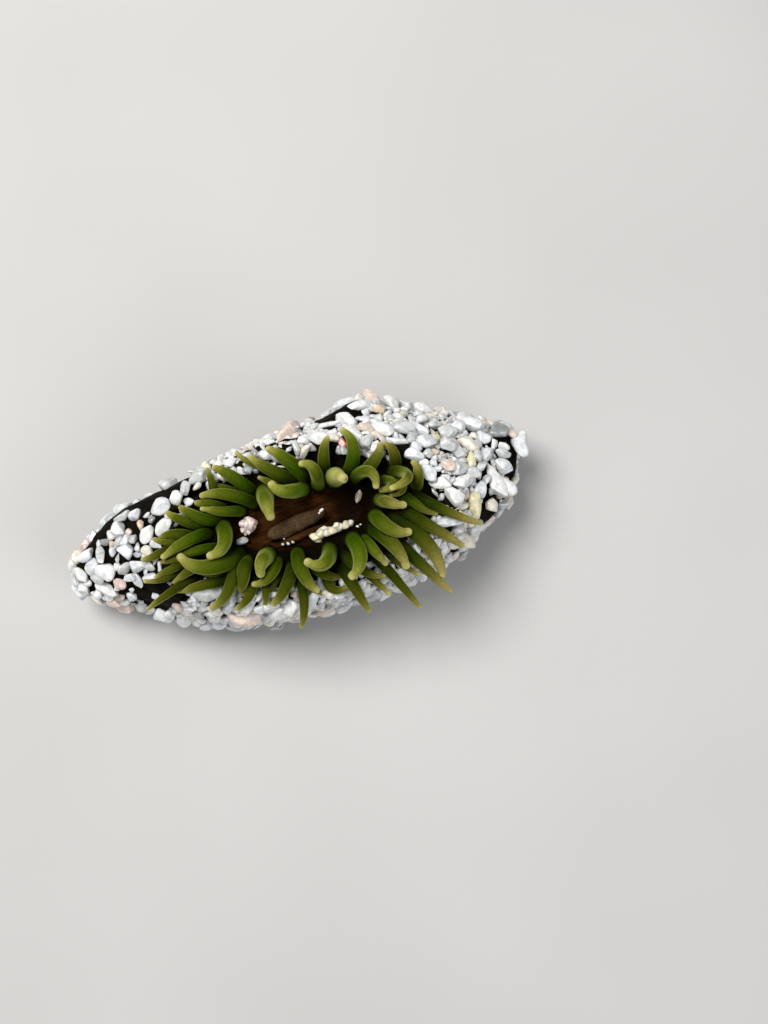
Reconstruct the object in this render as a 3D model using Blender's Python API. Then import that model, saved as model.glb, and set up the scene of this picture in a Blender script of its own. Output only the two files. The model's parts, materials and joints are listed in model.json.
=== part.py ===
"""A sea anemone of the green snakelock kind, life size, with its crown spread and shell grit on its column.

The body is a squat oval mound that stands on its flat pedal disc. The column rises from it, swells, and draws in
to a low collar. Inside the collar lies the crown: short tapering tentacles in rings round a narrow oral disc with
two lips. The tentacles are grouped in tufts, each joined to its own length of the margin that they grow from.
Bands of shell and quartz grit, which the animal holds on its warts, lie on the upper slope of the column.

Frame: origin at the middle of the pedal disc, on the surface it stands on. +X along the long axis of the oval,
+Z up. The design is in millimetres and the scene is in metres.
"""

import math

import bmesh
import bpy
import numpy as np

# ---------------------------------------------------------------- sizes, in millimetres
MM = 0.001
GAP = 0.32                     # clearance between neighbouring solids
SIDES = 32                     # points round each oval section

# The column: height, half length, half width, centre x, centre y, turn of the oval in degrees.
STATIONS = (
    (0.0, 24.4, 9.5, 0.0, -0.5, 0.0),
    (0.45, 25.2, 10.2, 0.0, -0.5, 0.0),
    (1.0, 25.0, 10.0, 0.0, -0.5, 0.0),
    (2.1, 24.3, 9.2, 0.0, -0.5, 0.0),
    (3.3, 26.4, 10.1, 0.0, -0.6, 0.0),
    (5.0, 28.0, 10.9, 0.0, -0.7, 0.0),
    (7.0, 28.1, 11.1, 0.1, -0.8, -1.0),
    (9.5, 26.3, 10.9, 0.2, -1.0, -2.0),
    (12.0, 23.4, 10.5, 0.4, -1.3, -3.0),
    (14.0, 20.8, 10.1, 0.6, -1.6, -4.0),
    (15.4, 19.0, 9.6, 0.7, -1.8, -5.0),
    (16.2, 18.0, 9.0, 0.8, -1.9, -5.0),
)
# The wall is drawn in at two places of its girth: bearing, reach in degrees and share of the half width. It dies
# away between these heights.
PINCHES = ((208.0, 24.0, 0.35), (114.0, 18.0, 0.29))
PINCH_FADE = (9.0, 14.5)
# It swells at others: bearing, reach in degrees, height, reach in height, and how far it stands out.
SWELLS = (
    (67.0, 9.0, 8.5, 3.4, 2.2), (12.0, 12.0, 8.0, 3.4, 1.2), (300.0, 15.0, 7.5, 3.4, 1.1),
    (262.0, 14.0, 8.0, 3.4, 0.6), (173.0, 9.0, 6.5, 3.4, 1.0),
)
PEDAL_TOP = 1.0                # the foot's own length of the body
WAIST = 7.0                    # where the lower column meets the upper
SHOULDER = 14.6                # top of the column under the crown
CROWN_FLOOR = SHOULDER + GAP

# The crown: centre, turn, and its rings from the oral disc outward (half length, half width, height).
CROWN = (0.8, -1.9)
CROWN_TURN = -5.0
RINGS = ((9.0, 3.7, 17.3), (11.2, 4.9, 17.2), (13.4, 6.1, 16.8), (15.5, 7.2, 16.3))
INNER_EDGE, OUTER_EDGE = -0.55, 3.45   # ring levels of the margin's two edges
INNER_HEIGHT, OUTER_HEIGHT = 16.9, 15.8

DISC_TOP = 16.2                # the oral disc lies a little below the margin
LIP_TURN = 5.0
LIPS = (                       # centre x, y, half length, half width, height above the disc
    ("mouth_lip_upper", 0.0, -2.05, 3.7, 0.9, 1.1),
    ("mouth_lip_lower", 0.4, -3.6, 3.1, 0.45, 0.7),
)

# Girth of a tentacle along its length, as a share of its greatest, and the least radius at its tip.
GIRTH = ((0.0, 0.90), (0.2, 1.0), (0.45, 0.96), (0.7, 0.78), (0.88, 0.58), (1.0, 0.50))
LEAST = 0.27
JOINTS = 10                    # stations along a tentacle while it settles
TUBE = 6                       # stations along the finished solid

# The tufts: start bearing on the margin, then each tentacle's ring, bearing, heading, reach, bow, tip height, girth.
# Bearings and headings are in degrees, anticlockwise from +X. Bow is the sideways lean of its middle, to the left.
TUFTS = (
    (-4.0, (
        (0.25, 9, 325, 3.0, -0.25, 20.0, 1.4),
        (1.5, 5, 315, 4.5, -0.25, 16.0, 1.1),
        (2, 5, 320, 9.0, -0.5, 13.5, 1.1),
        (2.25, 8.5, 76, 3.0, -0.45, 18.0, 1.3),
    )),
    (21.5, (
        (2, 29, 240, 2.5, 1.2, 18.0, 1.1),
        (1.25, 31, 255, 1.5, 1.35, 19.0, 1.2),
        (2.1, 35, 262, 2.4, 2.0, 21.0, 1.3),
        (2.6, 35.5, 97, 3.0, -0.6, 17.0, 1.3),
    )),
    (42.0, (
        (1.5, 47.5, 42, 3.7, -0.4, 18.0, 1.4),
        (0.75, 50, 320, 3.0, 1.25, 20.5, 1.3),
        (1.25, 57, 80, 5.0, -1.0, 18.0, 1.4),
        (0.75, 64, 315, 1.5, 0.0, 24.0, 2.0),
        (1.25, 71, 70, 4.0, 0.25, 18.0, 1.3),
        (0, 73, 110, 3.0, -0.75, 20.0, 1.4),
    )),
    (78.0, (
        (1, 83, 125, 5.5, -0.25, 17.5, 1.5),
        (0, 84.5, 160, 3.5, 0.75, 20.5, 1.6),
        (1, 91, 135, 5.5, 0.25, 17.5, 1.4),
        (1.75, 88, 145, 7.5, 0.75, 16.5, 0.9),
        (0.25, 100, 135, 3.0, 0.0, 17.5, 0.9),
    )),
    (104.0, (
        (0.75, 110, 270, 3.5, 0.0, 21.0, 1.8),
        (1, 117, 130, 5.5, -0.25, 16.5, 1.4),
        (1.5, 123, 145, 3.5, 0.25, 17.0, 1.2),
        (0, 125, 155, 6.0, -0.5, 17.5, 1.3),
    )),
    (131.0, (
        (0, 138, 170, 5.0, 0.25, 18.0, 1.4),
        (2, 135, 90, 4.0, -0.25, 15.5, 0.9),
        (1, 141, 150, 3.5, 0.0, 16.0, 0.9),
    )),
    (146.0, (
        (0.75, 152, 145, 5.0, 0.25, 16.0, 1.2),
        (0.5, 160, 240, 4.0, 1.25, 20.5, 1.6),
        (1.25, 161, 145, 5.0, 0.25, 16.0, 1.2),
        (1, 170, 195, 6.0, 0.0, 17.0, 1.5),
        (1.75, 176, 165, 4.5, -0.5, 15.0, 1.3),
        (1.75, 182, 155, 5.0, 0.25, 14.5, 0.9),
        (2.75, 179, 185, 4.5, 0.25, 13.5, 1.1),
    )),
    (187.5, (
        (0.75, 195, 170, 5.5, -0.25, 17.0, 1.1),
        (2.5, 194, 195, 4.5, 0.25, 13.0, 0.9),
        (3, 198, 185, 5.0, 0.5, 12.5, 0.8),
        (2.25, 199, 165, 4.5, 0.0, 13.0, 0.8),
    )),
    (205.0, (
        (0.25, 215, 165, 7.0, 1.5, 18.5, 1.7),
        (0.75, 219, 225, 6.5, 1.0, 15.0, 1.3),
        (1.75, 211, 180, 5.5, -0.25, 15.0, 1.1),
        (1.75, 221, 150, 4.5, 0.25, 15.5, 1.1),
        (2.25, 228, 175, 7.0, 0.25, 15.0, 1.2),
        (3, 212, 195, 7.5, 0.0, 12.0, 0.9),
        (0.75, 226, 255, 4.0, -0.5, 17.0, 1.5),
    )),
    (231.5, (
        (0, 239, 235, 2.5, -0.25, 20.0, 1.7),
        (2.25, 239, 225, 4.0, 0.5, 14.0, 1.1),
        (0.5, 248, 210, 4.0, 0.75, 18.0, 1.2),
        (2.5, 247, 250, 3.0, 0.25, 14.5, 0.9),
        (1.75, 252, 215, 3.0, 0.25, 15.0, 0.9),
    )),
    (255.0, (
        (1.25, 259, 225, 5.0, 0.5, 16.0, 1.4),
        (0, 262, 280, 5.0, -0.5, 18.5, 1.5),
        (2.25, 263, 255, 6.0, 0.5, 13.5, 1.1),
        (1.75, 265.5, 290, 3.5, -0.5, 15.5, 0.9),
        (1.25, 271, 325, 3.5, -0.75, 17.0, 1.2),
        (2.5, 276.5, 310, 3.0, -1.25, 15.5, 1.1),
    )),
    (279.5, (
        (2, 284, 285, 6.5, 0.0, 15.0, 1.3),
        (0.25, 285, 200, 3.0, 1.25, 21.0, 1.6),
        (1.25, 290, 315, 5.5, -0.75, 17.0, 1.1),
        (2.75, 291, 300, 5.0, 0.0, 14.5, 0.9),
    )),
    (296.7, (
        (0.25, 303, 255, 4.5, 1.0, 20.0, 1.7),
        (0.75, 308, 295, 4.0, 0.0, 18.5, 1.2),
        (3, 306, 310, 4.5, -0.25, 14.0, 0.9),
        (2.25, 301, 295, 8.5, 0.0, 14.5, 1.1),
    )),
    (312.5, (
        (2, 318.5, 300, 9.5, -0.25, 13.5, 1.3),
        (0.5, 321, 295, 6.0, 0.5, 19.0, 1.6),
        (0, 341, 315, 4.5, -0.75, 19.0, 1.6),
        (1, 338, 295, 9.0, 1.0, 16.0, 1.8),
        (1, 348, 315, 9.0, 0.0, 15.0, 1.3),
    )),
)

# The grit: bands round the column's slope, from GRIT_LOW to GRIT_HIGH, this thick, in GRIT_BANDS lengths.
GRIT_BANDS = 8
GRIT_LOW, GRIT_HIGH = 3.6, 14.2
GRIT_THICK, GRIT_LUMP = 1.25, 1.0
GRIT_STEPS = 8

# Colour, roughness
FLESH_DARK = ((0.055, 0.040, 0.020), 0.35)
FLESH_BROWN = ((0.090, 0.050, 0.028), 0.32)
FLESH_GREEN = ((0.150, 0.230, 0.030), 0.30)
LIP_BROWN = ((0.200, 0.120, 0.070), 0.32)
GRIT_WHITE = ((0.780, 0.770, 0.740), 0.55)


# ---------------------------------------------------------------- the oval body
def station_at(height):
    rows = np.array(STATIONS)
    return [height] + [float(np.interp(height, rows[:, 0], rows[:, i])) for i in range(1, 6)]


def oval_point(a, b, cx, cy, turn, bearing):
    q, t = math.radians(bearing), math.radians(turn)
    x, y = a * math.cos(q), b * math.sin(q)
    return cx + x * math.cos(t) - y * math.sin(t), cy + x * math.sin(t) + y * math.cos(t)


def swell(height, bearing):
    """How far the wall stands out beyond its plain oval."""
    total = 0.0
    for where, reach, level, tall, far in SWELLS:
        off = (bearing - where + 180.0) % 360.0 - 180.0
        total += far * math.exp(-((off / reach) ** 2) - ((height - level) / tall) ** 2)
    return total


def wall_oval(height, bearing, grow=0.0):
    """A point of the column's wall, grown outward by grow."""
    _, a, b, cx, cy, turn = station_at(height)
    grow += swell(height, bearing)
    low, high = PINCH_FADE
    fade = min(1.0, max(0.0, (high - height) / (high - low)))
    for where, reach, share in PINCHES:
        b *= 1 - share * fade * math.exp(-(((bearing - where) / reach) ** 2))
    return oval_point(a + grow, b + grow, cx, cy, turn, bearing)


def oval(height, grow=0.0, sides=SIDES):
    """One level section of the column, grown outward by grow."""
    return [wall_oval(height, 360.0 * i / sides, grow) + (height,) for i in range(sides)]


def ring_at(ring):
    """Half length, half width and height of the crown's surface at a ring level."""
    if ring <= 0:
        f = ring / INNER_EDGE
        return [RINGS[0][i] + ring * (RINGS[1][i] - RINGS[0][i]) for i in (0, 1)] + [
            RINGS[0][2] + f * (INNER_HEIGHT - RINGS[0][2])]
    k = min(int(ring), 2)
    f = ring - k
    a, b, z = [RINGS[k][i] * (1 - f) + RINGS[k + 1][i] * f for i in range(3)]
    if ring > 3:
        z = RINGS[3][2] + (ring - 3) / (OUTER_EDGE - 3) * (OUTER_HEIGHT - RINGS[3][2])
    return [a, b, z]


def ring_point(ring, bearing):
    a, b, z = ring_at(ring)
    return oval_point(a, b, CROWN[0], CROWN[1], CROWN_TURN, bearing) + (z,)


# ---------------------------------------------------------------- the tentacles' lines
def evenly(points, count):
    run = np.concatenate([[0.0], np.cumsum(np.linalg.norm(np.diff(points, axis=0), axis=1))])
    s = np.linspace(0.0, run[-1], count)
    return np.stack([np.interp(s, run, points[:, i]) for i in range(3)], 1)


def centreline(row, count):
    """From the margin up, over and out to the tip, as one cubic."""
    ring, bearing, heading, reach, bow, tip_z, _ = row
    a = np.array(ring_point(ring, bearing))
    h = math.radians(heading)
    along = np.array([math.cos(h), math.sin(h), 0.0])
    side = np.array([-along[1], along[0], 0.0])
    tip = a + along * reach
    tip[2] = tip_z
    rise = 3.4 - 0.75 * ring
    p0 = a - [0.0, 0.0, 0.8]
    p1 = a + [0.0, 0.0, rise] + along * min(reach * 0.12, 0.5) + side * bow * 0.8
    p2 = tip - along * reach * 0.30 + side * bow * 1.87
    p2[2] = max(tip_z + 0.9, a[2] + 0.45 * rise)
    t = np.linspace(0.0, 1.0, 40)[:, None]
    u = 1.0 - t
    return evenly(u**3 * p0 + 3 * t * u**2 * p1 + 3 * t * t * u * p2 + t**3 * tip, count)


def girths(girth, count):
    f = np.interp(np.linspace(0, 1, count), [g[0] for g in GIRTH], [g[1] for g in GIRTH])
    return np.maximum(0.5 * girth * f, LEAST)


def surface_height(x, y, grow):
    """Height of the body's upper surface over each point, with the column grown by grow, and -99 beyond it."""
    levels = [(z, a + grow, b + grow, cx, cy, turn) for z, a, b, cx, cy, turn in STATIONS[6:]]
    for ring in (3.45, 3, 2, 1, 0):
        a, b, z = ring_at(ring)
        levels.append((z, a, b, CROWN[0], CROWN[1], CROWN_TURN))
    outside = []
    for _, a, b, cx, cy, turn in levels:
        t = math.radians(turn)
        u = (x - cx) * math.cos(t) + (y - cy) * math.sin(t)
        v = -(x - cx) * math.sin(t) + (y - cy) * math.cos(t)
        outside.append((u / a) ** 2 + (v / b) ** 2)
    height = np.full(x.shape, -99.0)
    for j in range(len(levels) - 1):
        here = (outside[j] <= 1) & (outside[j + 1] > 1)
        f = (1 - outside[j][here]) / np.maximum(outside[j + 1][here] - outside[j][here], 1e-9)
        height[here] = levels[j][0] + f * (levels[j + 1][0] - levels[j][0])
    height[outside[-1] <= 1] = levels[-1][0]
    return height


def settle(lines, radii, tuft, rounds=500):
    """Pushes the tentacles apart until none passes through another, so that they lie on each other as in life."""
    count, n = len(lines), lines[0].shape[0]
    start = np.array(lines)
    now = start.copy()
    wide = np.array(radii)
    r = wide.reshape(-1)
    free = np.clip((np.arange(n) - 0.5) / 3.0, 0.0, 1.0)      # the root is held
    who, step_of = np.repeat(np.arange(count), n), np.tile(np.arange(n), count)
    loose = np.tile(free, count)
    group = np.asarray(tuft)[who]
    first, second = np.triu_indices(count * n, 1)
    same = group[first] == group[second]
    keep = (who[first] != who[second]) & (loose[first] + loose[second] > 0)
    keep &= ~(same & (step_of[first] <= 2) & (step_of[second] <= 2))
    first, second = first[keep], second[keep]
    need_all = r[first] + r[second] + np.where(same[keep], 0.04, GAP + 0.06)
    for turn in range(rounds):
        flat_list = now.reshape(-1, 3)
        if turn % 20 == 0:
            d = flat_list[first] - flat_list[second]
            near = (d * d).sum(1) < (need_all + 1.6) ** 2
            a, b, need = first[near], second[near], need_all[near]
            total = loose[a] + loose[b] + 1e-9
            share_a, share_b = loose[a] / total, loose[b] / total
        d = flat_list[a] - flat_list[b]
        dist = np.sqrt((d * d).sum(1)) + 1e-9
        over = np.maximum(need - dist, 0.0)
        flat = np.sqrt(d[:, 0] ** 2 + d[:, 1] ** 2)
        way = d / dist[:, None]
        # where one lies over the other, they part upward and downward
        way[:, 2] += np.where(flat < 0.75 * need, np.where(d[:, 2] >= 0, 0.9, -0.9), 0.0)
        way /= np.sqrt((way * way).sum(1))[:, None]
        force = way * (over * 0.45)[:, None]
        push = np.zeros_like(flat_list)
        for axis in range(3):
            push[:, axis] = np.bincount(a, force[:, axis] * share_a, len(r)) - np.bincount(
                b, force[:, axis] * share_b, len(r))
        size = np.sqrt((push * push).sum(1))
        push *= np.minimum(1.0, 0.35 / np.maximum(size, 1e-9))[:, None]
        now = (flat_list + push * loose[:, None]).reshape(count, n, 3)
        hold = 1.0 if turn < rounds * 0.8 else 0.35
        for _ in range(2):                                     # each keeps a smooth line
            moved = now - start
            even = moved.copy()
            even[:, 1:-1] = (1 - 0.5 * hold) * moved[:, 1:-1] + 0.25 * hold * (moved[:, :-2] + moved[:, 2:])
            even[:, -1] = (1 - 0.3 * hold) * moved[:, -1] + 0.3 * hold * moved[:, -2]
            now = start + even
        now[..., :2] += 0.05 * hold * (start[..., :2] - now[..., :2])
        now[..., 2] += 0.008 * hold * (start[..., 2] - now[..., 2])
        low = surface_height(now[..., 0], now[..., 1], GRIT_THICK + GRIT_LUMP + GAP) + wide + 0.35
        now[:, 4:, 2] = np.maximum(now[:, 4:, 2], low[:, 4:])
    return now


# ---------------------------------------------------------------- Blender helpers
def clear_scene():
    for obj in list(bpy.data.objects):
        bpy.data.objects.remove(obj, do_unlink=True)


def collection(name, hidden=False):
    made = bpy.data.collections.new(name)
    bpy.context.scene.collection.children.link(made)
    made.hide_render = hidden
    return made


def material(name, look):
    colour, roughness = look
    made = bpy.data.materials.new(name)
    made.use_nodes = True
    shader = made.node_tree.nodes["Principled BSDF"]
    shader.inputs["Base Color"].default_value = (*colour, 1.0)
    shader.inputs["Roughness"].default_value = roughness
    shader.inputs["Metallic"].default_value = 0.0
    made.diffuse_color = (*colour, 1.0)
    return made


def body_from(name, points, faces, look, parts):
    """A closed mesh object from points in millimetres, with its faces turned outward."""
    mesh = bpy.data.meshes.new(name)
    mesh.from_pydata([tuple(c * MM for c in p) for p in points], [], faces)
    shape = bmesh.new()
    shape.from_mesh(mesh)
    bmesh.ops.recalc_face_normals(shape, faces=shape.faces)
    shape.to_mesh(mesh)
    shape.free()
    mesh.shade_smooth()
    obj = bpy.data.objects.new(name, mesh)
    if look is not None:
        mesh.materials.append(material(name, look))
    parts.objects.link(obj)
    return obj


def loft(name, sections, look, parts):
    """A solid through level sections of equal count, closed at both ends."""
    n = len(sections[0])
    points = [p for section in sections for p in section]
    faces = [tuple(reversed(range(n)))]
    for k in range(len(sections) - 1):
        faces += [(k * n + i, k * n + (i + 1) % n, (k + 1) * n + (i + 1) % n, (k + 1) * n + i) for i in range(n)]
    faces.append(tuple(range((len(sections) - 1) * n, len(sections) * n)))
    return body_from(name, points, faces, look, parts)


def hoop(name, sections, look, parts):
    """A closed ring through cross-sections of equal count, which follow each other round the body."""
    count, n = len(sections), len(sections[0])
    points = [p for section in sections for p in section]
    faces = []
    for k in range(count):
        m = (k + 1) % count
        faces += [(k * n + i, k * n + (i + 1) % n, m * n + (i + 1) % n, m * n + i) for i in range(n)]
    return body_from(name, points, faces, look, parts)


def tube(name, line, radii, parts):
    """A tapering round tube with filled caps, made a mesh so that it can be joined."""
    data = bpy.data.curves.new(name, "CURVE")
    data.dimensions = "3D"
    data.bevel_depth = MM
    data.bevel_resolution = 1
    data.use_fill_caps = True
    spline = data.splines.new("POLY")
    spline.points.add(len(line) - 1)
    for point, place, radius in zip(spline.points, line, radii):
        point.co = (*(float(c) * MM for c in place), 1.0)
        point.radius = float(radius) * 1.05                    # six sides, so that its mean girth is true
    curve = bpy.data.objects.new(name + "_line", data)
    parts.objects.link(curve)
    bpy.context.view_layer.update()
    mesh = bpy.data.meshes.new_from_object(curve.evaluated_get(bpy.context.evaluated_depsgraph_get()))
    shape = bmesh.new()
    shape.from_mesh(mesh)
    bmesh.ops.remove_doubles(shape, verts=shape.verts, dist=2e-6)
    bmesh.ops.recalc_face_normals(shape, faces=shape.faces)
    shape.to_mesh(mesh)
    shape.free()
    obj = bpy.data.objects.new(name, mesh)
    obj.matrix_world = curve.matrix_world
    bpy.data.objects.remove(curve, do_unlink=True)
    bpy.data.curves.remove(data)
    parts.objects.link(obj)
    obj.hide_render = True
    obj.display_type = "WIRE"
    return obj


# ---------------------------------------------------------------- the parts
def add_column(parts):
    def between(low, high):
        inner = [s[0] for s in STATIONS if low + 0.25 < s[0] < high - 0.25]
        return [oval(z) for z in [low] + inner + [high]]

    loft("pedal_disc", between(0.0, PEDAL_TOP), FLESH_DARK, parts)
    loft("column_lower", between(PEDAL_TOP + GAP, WAIST), FLESH_DARK, parts)
    loft("column_upper", between(WAIST + GAP, SHOULDER), FLESH_DARK, parts)


def add_collar(parts):
    """The low rim round the crown, with a groove between it and the tentacles."""
    a, b, _ = ring_at(OUTER_EDGE)
    sections = []
    for i in range(SIDES):
        bearing = 360.0 * i / SIDES
        inner = oval_point(a + GAP, b + GAP, CROWN[0], CROWN[1], CROWN_TURN, bearing)
        bottom, outer, rim = (wall_oval(z, bearing) for z in (CROWN_FLOOR, 15.5, 16.2))
        rim_in = [inner[k] + 0.45 * (rim[k] - inner[k]) for k in (0, 1)]
        sections.append([(*inner, CROWN_FLOOR), (*bottom, CROWN_FLOOR), (*outer, 15.5), (*rim, 16.15),
                         (*rim_in, 16.3), (*inner, 15.7)])
    hoop("collar", sections, FLESH_DARK, parts)


def add_oral_disc(parts):
    a, b, _ = ring_at(INNER_EDGE)
    levels = ((CROWN_FLOOR, -GAP), (DISC_TOP - 0.2, -GAP), (DISC_TOP, -GAP - 0.4))
    sections = [[oval_point(a + g, b + g, CROWN[0], CROWN[1], CROWN_TURN, 360.0 * i / 24) + (z,) for i in range(24)]
                for z, g in levels]
    loft("oral_disc", sections, FLESH_BROWN, parts)
    for name, x, y, half_length, half_width, high in LIPS:
        sections = []
        for level, inset in ((0.0, 0.12), (0.4, 0.0), (0.75, 0.25), (1.0, 0.7)):
            section = []
            for i in range(16):
                q = 2 * math.pi * i / 16
                c, d = math.cos(q), math.sin(q)
                u = math.copysign(abs(c) ** 0.7, c) * (half_length - inset * half_width)
                v = d * half_width * (1 - inset)
                t = math.radians(LIP_TURN)
                section.append((x + u * math.cos(t) - v * math.sin(t), y + u * math.sin(t) + v * math.cos(t),
                                DISC_TOP + GAP + level * high))
            sections.append(section)
        loft(name, sections, LIP_BROWN, parts)


def margin_length(name, start, end, parts):
    """The length of the crown's margin between two bearings, which a tuft grows from."""
    levels = ((INNER_EDGE, CROWN_FLOOR), (OUTER_EDGE, CROWN_FLOOR), (OUTER_EDGE, None), (3, None), (2, None),
              (1, None), (0, None), (INNER_EDGE, None))
    steps = max(2, round((end - start) / 12.0))
    sections = []
    for k in range(steps + 1):
        section = []
        for ring, height in levels:
            a, b, z = ring_at(ring)
            bearing = start + (end - start) * k / steps
            if k in (0, steps):                                # half a gap at each cut
                q = math.radians(bearing)
                per_degree = math.radians(math.hypot(a * math.sin(q), b * math.cos(q)))
                bearing += (1 if k == 0 else -1) * 0.5 * GAP / per_degree
            x, y = oval_point(a, b, CROWN[0], CROWN[1], CROWN_TURN, bearing)
            section.append((x, y, z if height is None else height))
        sections.append(section)
    return loft(name, sections, FLESH_GREEN, parts)


def add_crown(parts, cutters):
    rows = [row for _, tuft in TUFTS for row in tuft]
    tuft_of = [i for i, (_, tuft) in enumerate(TUFTS) for _ in tuft]
    lines = settle([centreline(row, JOINTS) for row in rows], [girths(row[6], JOINTS) for row in rows], tuft_of)
    for i, (start, _) in enumerate(TUFTS):
        end = TUFTS[(i + 1) % len(TUFTS)][0] + (360.0 if i == len(TUFTS) - 1 else 0.0)
        name = f"tentacle_tuft_{i + 1:02d}"
        margin = margin_length(name, start, end, parts)
        for k, (row, line) in enumerate(zip(rows, lines)):
            if tuft_of[k] != i:
                continue
            arm = tube(f"{name}_arm_{k + 1:02d}", evenly(line, TUBE), girths(row[6], TUBE), cutters)
            join = margin.modifiers.new(arm.name, "BOOLEAN")
            join.operation = "UNION"
            join.solver = "EXACT"
            join.object = arm


def add_grit(parts):
    """Bands of grit on the column's slope, lumpy outside and smooth against the flesh."""
    span = 360.0 / GRIT_BANDS
    heights = [GRIT_LOW] + [s[0] for s in STATIONS if GRIT_LOW < s[0] < GRIT_HIGH - 0.5] + [GRIT_HIGH]
    rows = len(heights)
    for i in range(GRIT_BANDS):
        outer, inner = [], []
        for k in range(GRIT_STEPS + 1):
            for j, z in enumerate(heights):
                _, a, b = station_at(z)[:3]
                bearing = span * (i + k / GRIT_STEPS)
                q = math.radians(bearing)
                if k in (0, GRIT_STEPS):
                    per_degree = math.radians(math.hypot(a * math.sin(q), b * math.cos(q)))
                    bearing += (1 if k == 0 else -1) * 0.5 * GAP / per_degree
                lump = 0.5 + 0.5 * math.sin(2.9 * k + 1.7 * j + 1.3 * i) * math.cos(1.9 * j - 1.1 * k + 0.7 * i)
                edge = 0.55 if j in (0, rows - 1) else 1.0
                thick = edge * (GRIT_THICK + GRIT_LUMP * lump)
                lift = 0.35 * thick * j / (rows - 1)           # it stands square to the slope, which lies back
                outer.append(wall_oval(z, bearing, GAP + thick) + (z + lift,))
                inner.append(wall_oval(z, bearing, GAP) + (z,))
        n = len(outer)
        faces = []
        for k in range(GRIT_STEPS):
            for j in range(rows - 1):
                p = k * rows + j
                faces.append((p, p + rows, p + rows + 1, p + 1))
                faces.append((n + p, n + p + 1, n + p + rows + 1, n + p + rows))
            for j, way in ((0, 1), (rows - 1, -1)):
                p = k * rows + j
                faces.append((p, n + p, n + p + rows, p + rows)[::way])
        for j in range(rows - 1):
            for k, way in ((0, -1), (GRIT_STEPS, 1)):
                p = k * rows + j
                faces.append((p, n + p, n + p + 1, p + 1)[::way])
        body_from(f"grit_band_{i + 1:02d}", outer + inner, faces, GRIT_WHITE, parts)


def main():
    clear_scene()
    parts = collection("sea_anemone")
    cutters = collection("cutters", hidden=True)
    add_column(parts)
    add_collar(parts)
    add_oral_disc(parts)
    add_crown(parts, cutters)
    add_grit(parts)


main()
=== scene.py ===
"""A green snakelock sea anemone, life size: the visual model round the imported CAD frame.

One wet skin stands for the foot, column, collar, disc, lips and tentacles. The shell and quartz grit that the
animal holds on its warts is modelled grain by grain. Lengths in the tables are in millimetres, and every mesh is
brought to metres as it is made.
"""

import math
import time

import bmesh
import bpy
import numpy as np
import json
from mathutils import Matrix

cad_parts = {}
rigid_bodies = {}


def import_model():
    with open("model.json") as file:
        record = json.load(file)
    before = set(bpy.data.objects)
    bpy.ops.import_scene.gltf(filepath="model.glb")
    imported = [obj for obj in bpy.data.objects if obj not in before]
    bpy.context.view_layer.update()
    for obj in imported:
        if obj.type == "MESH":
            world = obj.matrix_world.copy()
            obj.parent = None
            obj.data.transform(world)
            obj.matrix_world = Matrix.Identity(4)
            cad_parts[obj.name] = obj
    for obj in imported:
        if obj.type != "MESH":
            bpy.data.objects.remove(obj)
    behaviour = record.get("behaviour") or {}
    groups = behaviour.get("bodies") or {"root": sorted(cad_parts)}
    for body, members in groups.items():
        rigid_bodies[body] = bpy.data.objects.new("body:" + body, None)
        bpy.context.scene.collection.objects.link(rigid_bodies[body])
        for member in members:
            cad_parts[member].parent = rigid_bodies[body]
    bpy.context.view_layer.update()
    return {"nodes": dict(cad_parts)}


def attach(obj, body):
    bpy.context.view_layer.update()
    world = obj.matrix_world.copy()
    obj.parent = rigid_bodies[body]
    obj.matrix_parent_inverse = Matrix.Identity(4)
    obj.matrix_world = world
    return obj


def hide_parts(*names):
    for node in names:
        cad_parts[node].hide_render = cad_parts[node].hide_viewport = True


START = time.time()
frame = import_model()
FLESH_NODES = [name for name in frame["nodes"] if not name.startswith("grit")]
GRIT_NODES = [name for name in frame["nodes"] if name.startswith("grit")]

MM = 0.001
GAP = 0.32                     # clearance between neighbouring solids
SIDES = 32                     # points round each oval section

# The column: height, half length, half width, centre x, centre y, turn of the oval in degrees.
STATIONS = (
    (0.0, 24.4, 9.5, 0.0, -0.5, 0.0),
    (0.45, 25.2, 10.2, 0.0, -0.5, 0.0),
    (1.0, 25.0, 10.0, 0.0, -0.5, 0.0),
    (2.1, 24.3, 9.2, 0.0, -0.5, 0.0),
    (3.3, 26.4, 10.1, 0.0, -0.6, 0.0),
    (5.0, 28.0, 10.9, 0.0, -0.7, 0.0),
    (7.0, 28.1, 11.1, 0.1, -0.8, -1.0),
    (9.5, 26.3, 10.9, 0.2, -1.0, -2.0),
    (12.0, 23.4, 10.5, 0.4, -1.3, -3.0),
    (14.0, 20.8, 10.1, 0.6, -1.6, -4.0),
    (15.4, 19.0, 9.6, 0.7, -1.8, -5.0),
    (16.2, 18.0, 9.0, 0.8, -1.9, -5.0),
)
# The wall is drawn in at two places of its girth: bearing, reach in degrees and share of the half width. It dies
# away between these heights.
PINCHES = ((208.0, 24.0, 0.35), (114.0, 18.0, 0.29))
PINCH_FADE = (9.0, 14.5)
# It swells at others: bearing, reach in degrees, height, reach in height, and how far it stands out.
SWELLS = (
    (67.0, 9.0, 8.5, 3.4, 2.2), (12.0, 12.0, 8.0, 3.4, 1.2), (300.0, 15.0, 7.5, 3.4, 1.1),
    (262.0, 14.0, 8.0, 3.4, 0.6), (173.0, 9.0, 6.5, 3.4, 1.0),
)
PEDAL_TOP = 1.0                # the foot's own length of the body
WAIST = 7.0                    # where the lower column meets the upper
SHOULDER = 14.6                # top of the column under the crown
CROWN_FLOOR = SHOULDER + GAP

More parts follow.
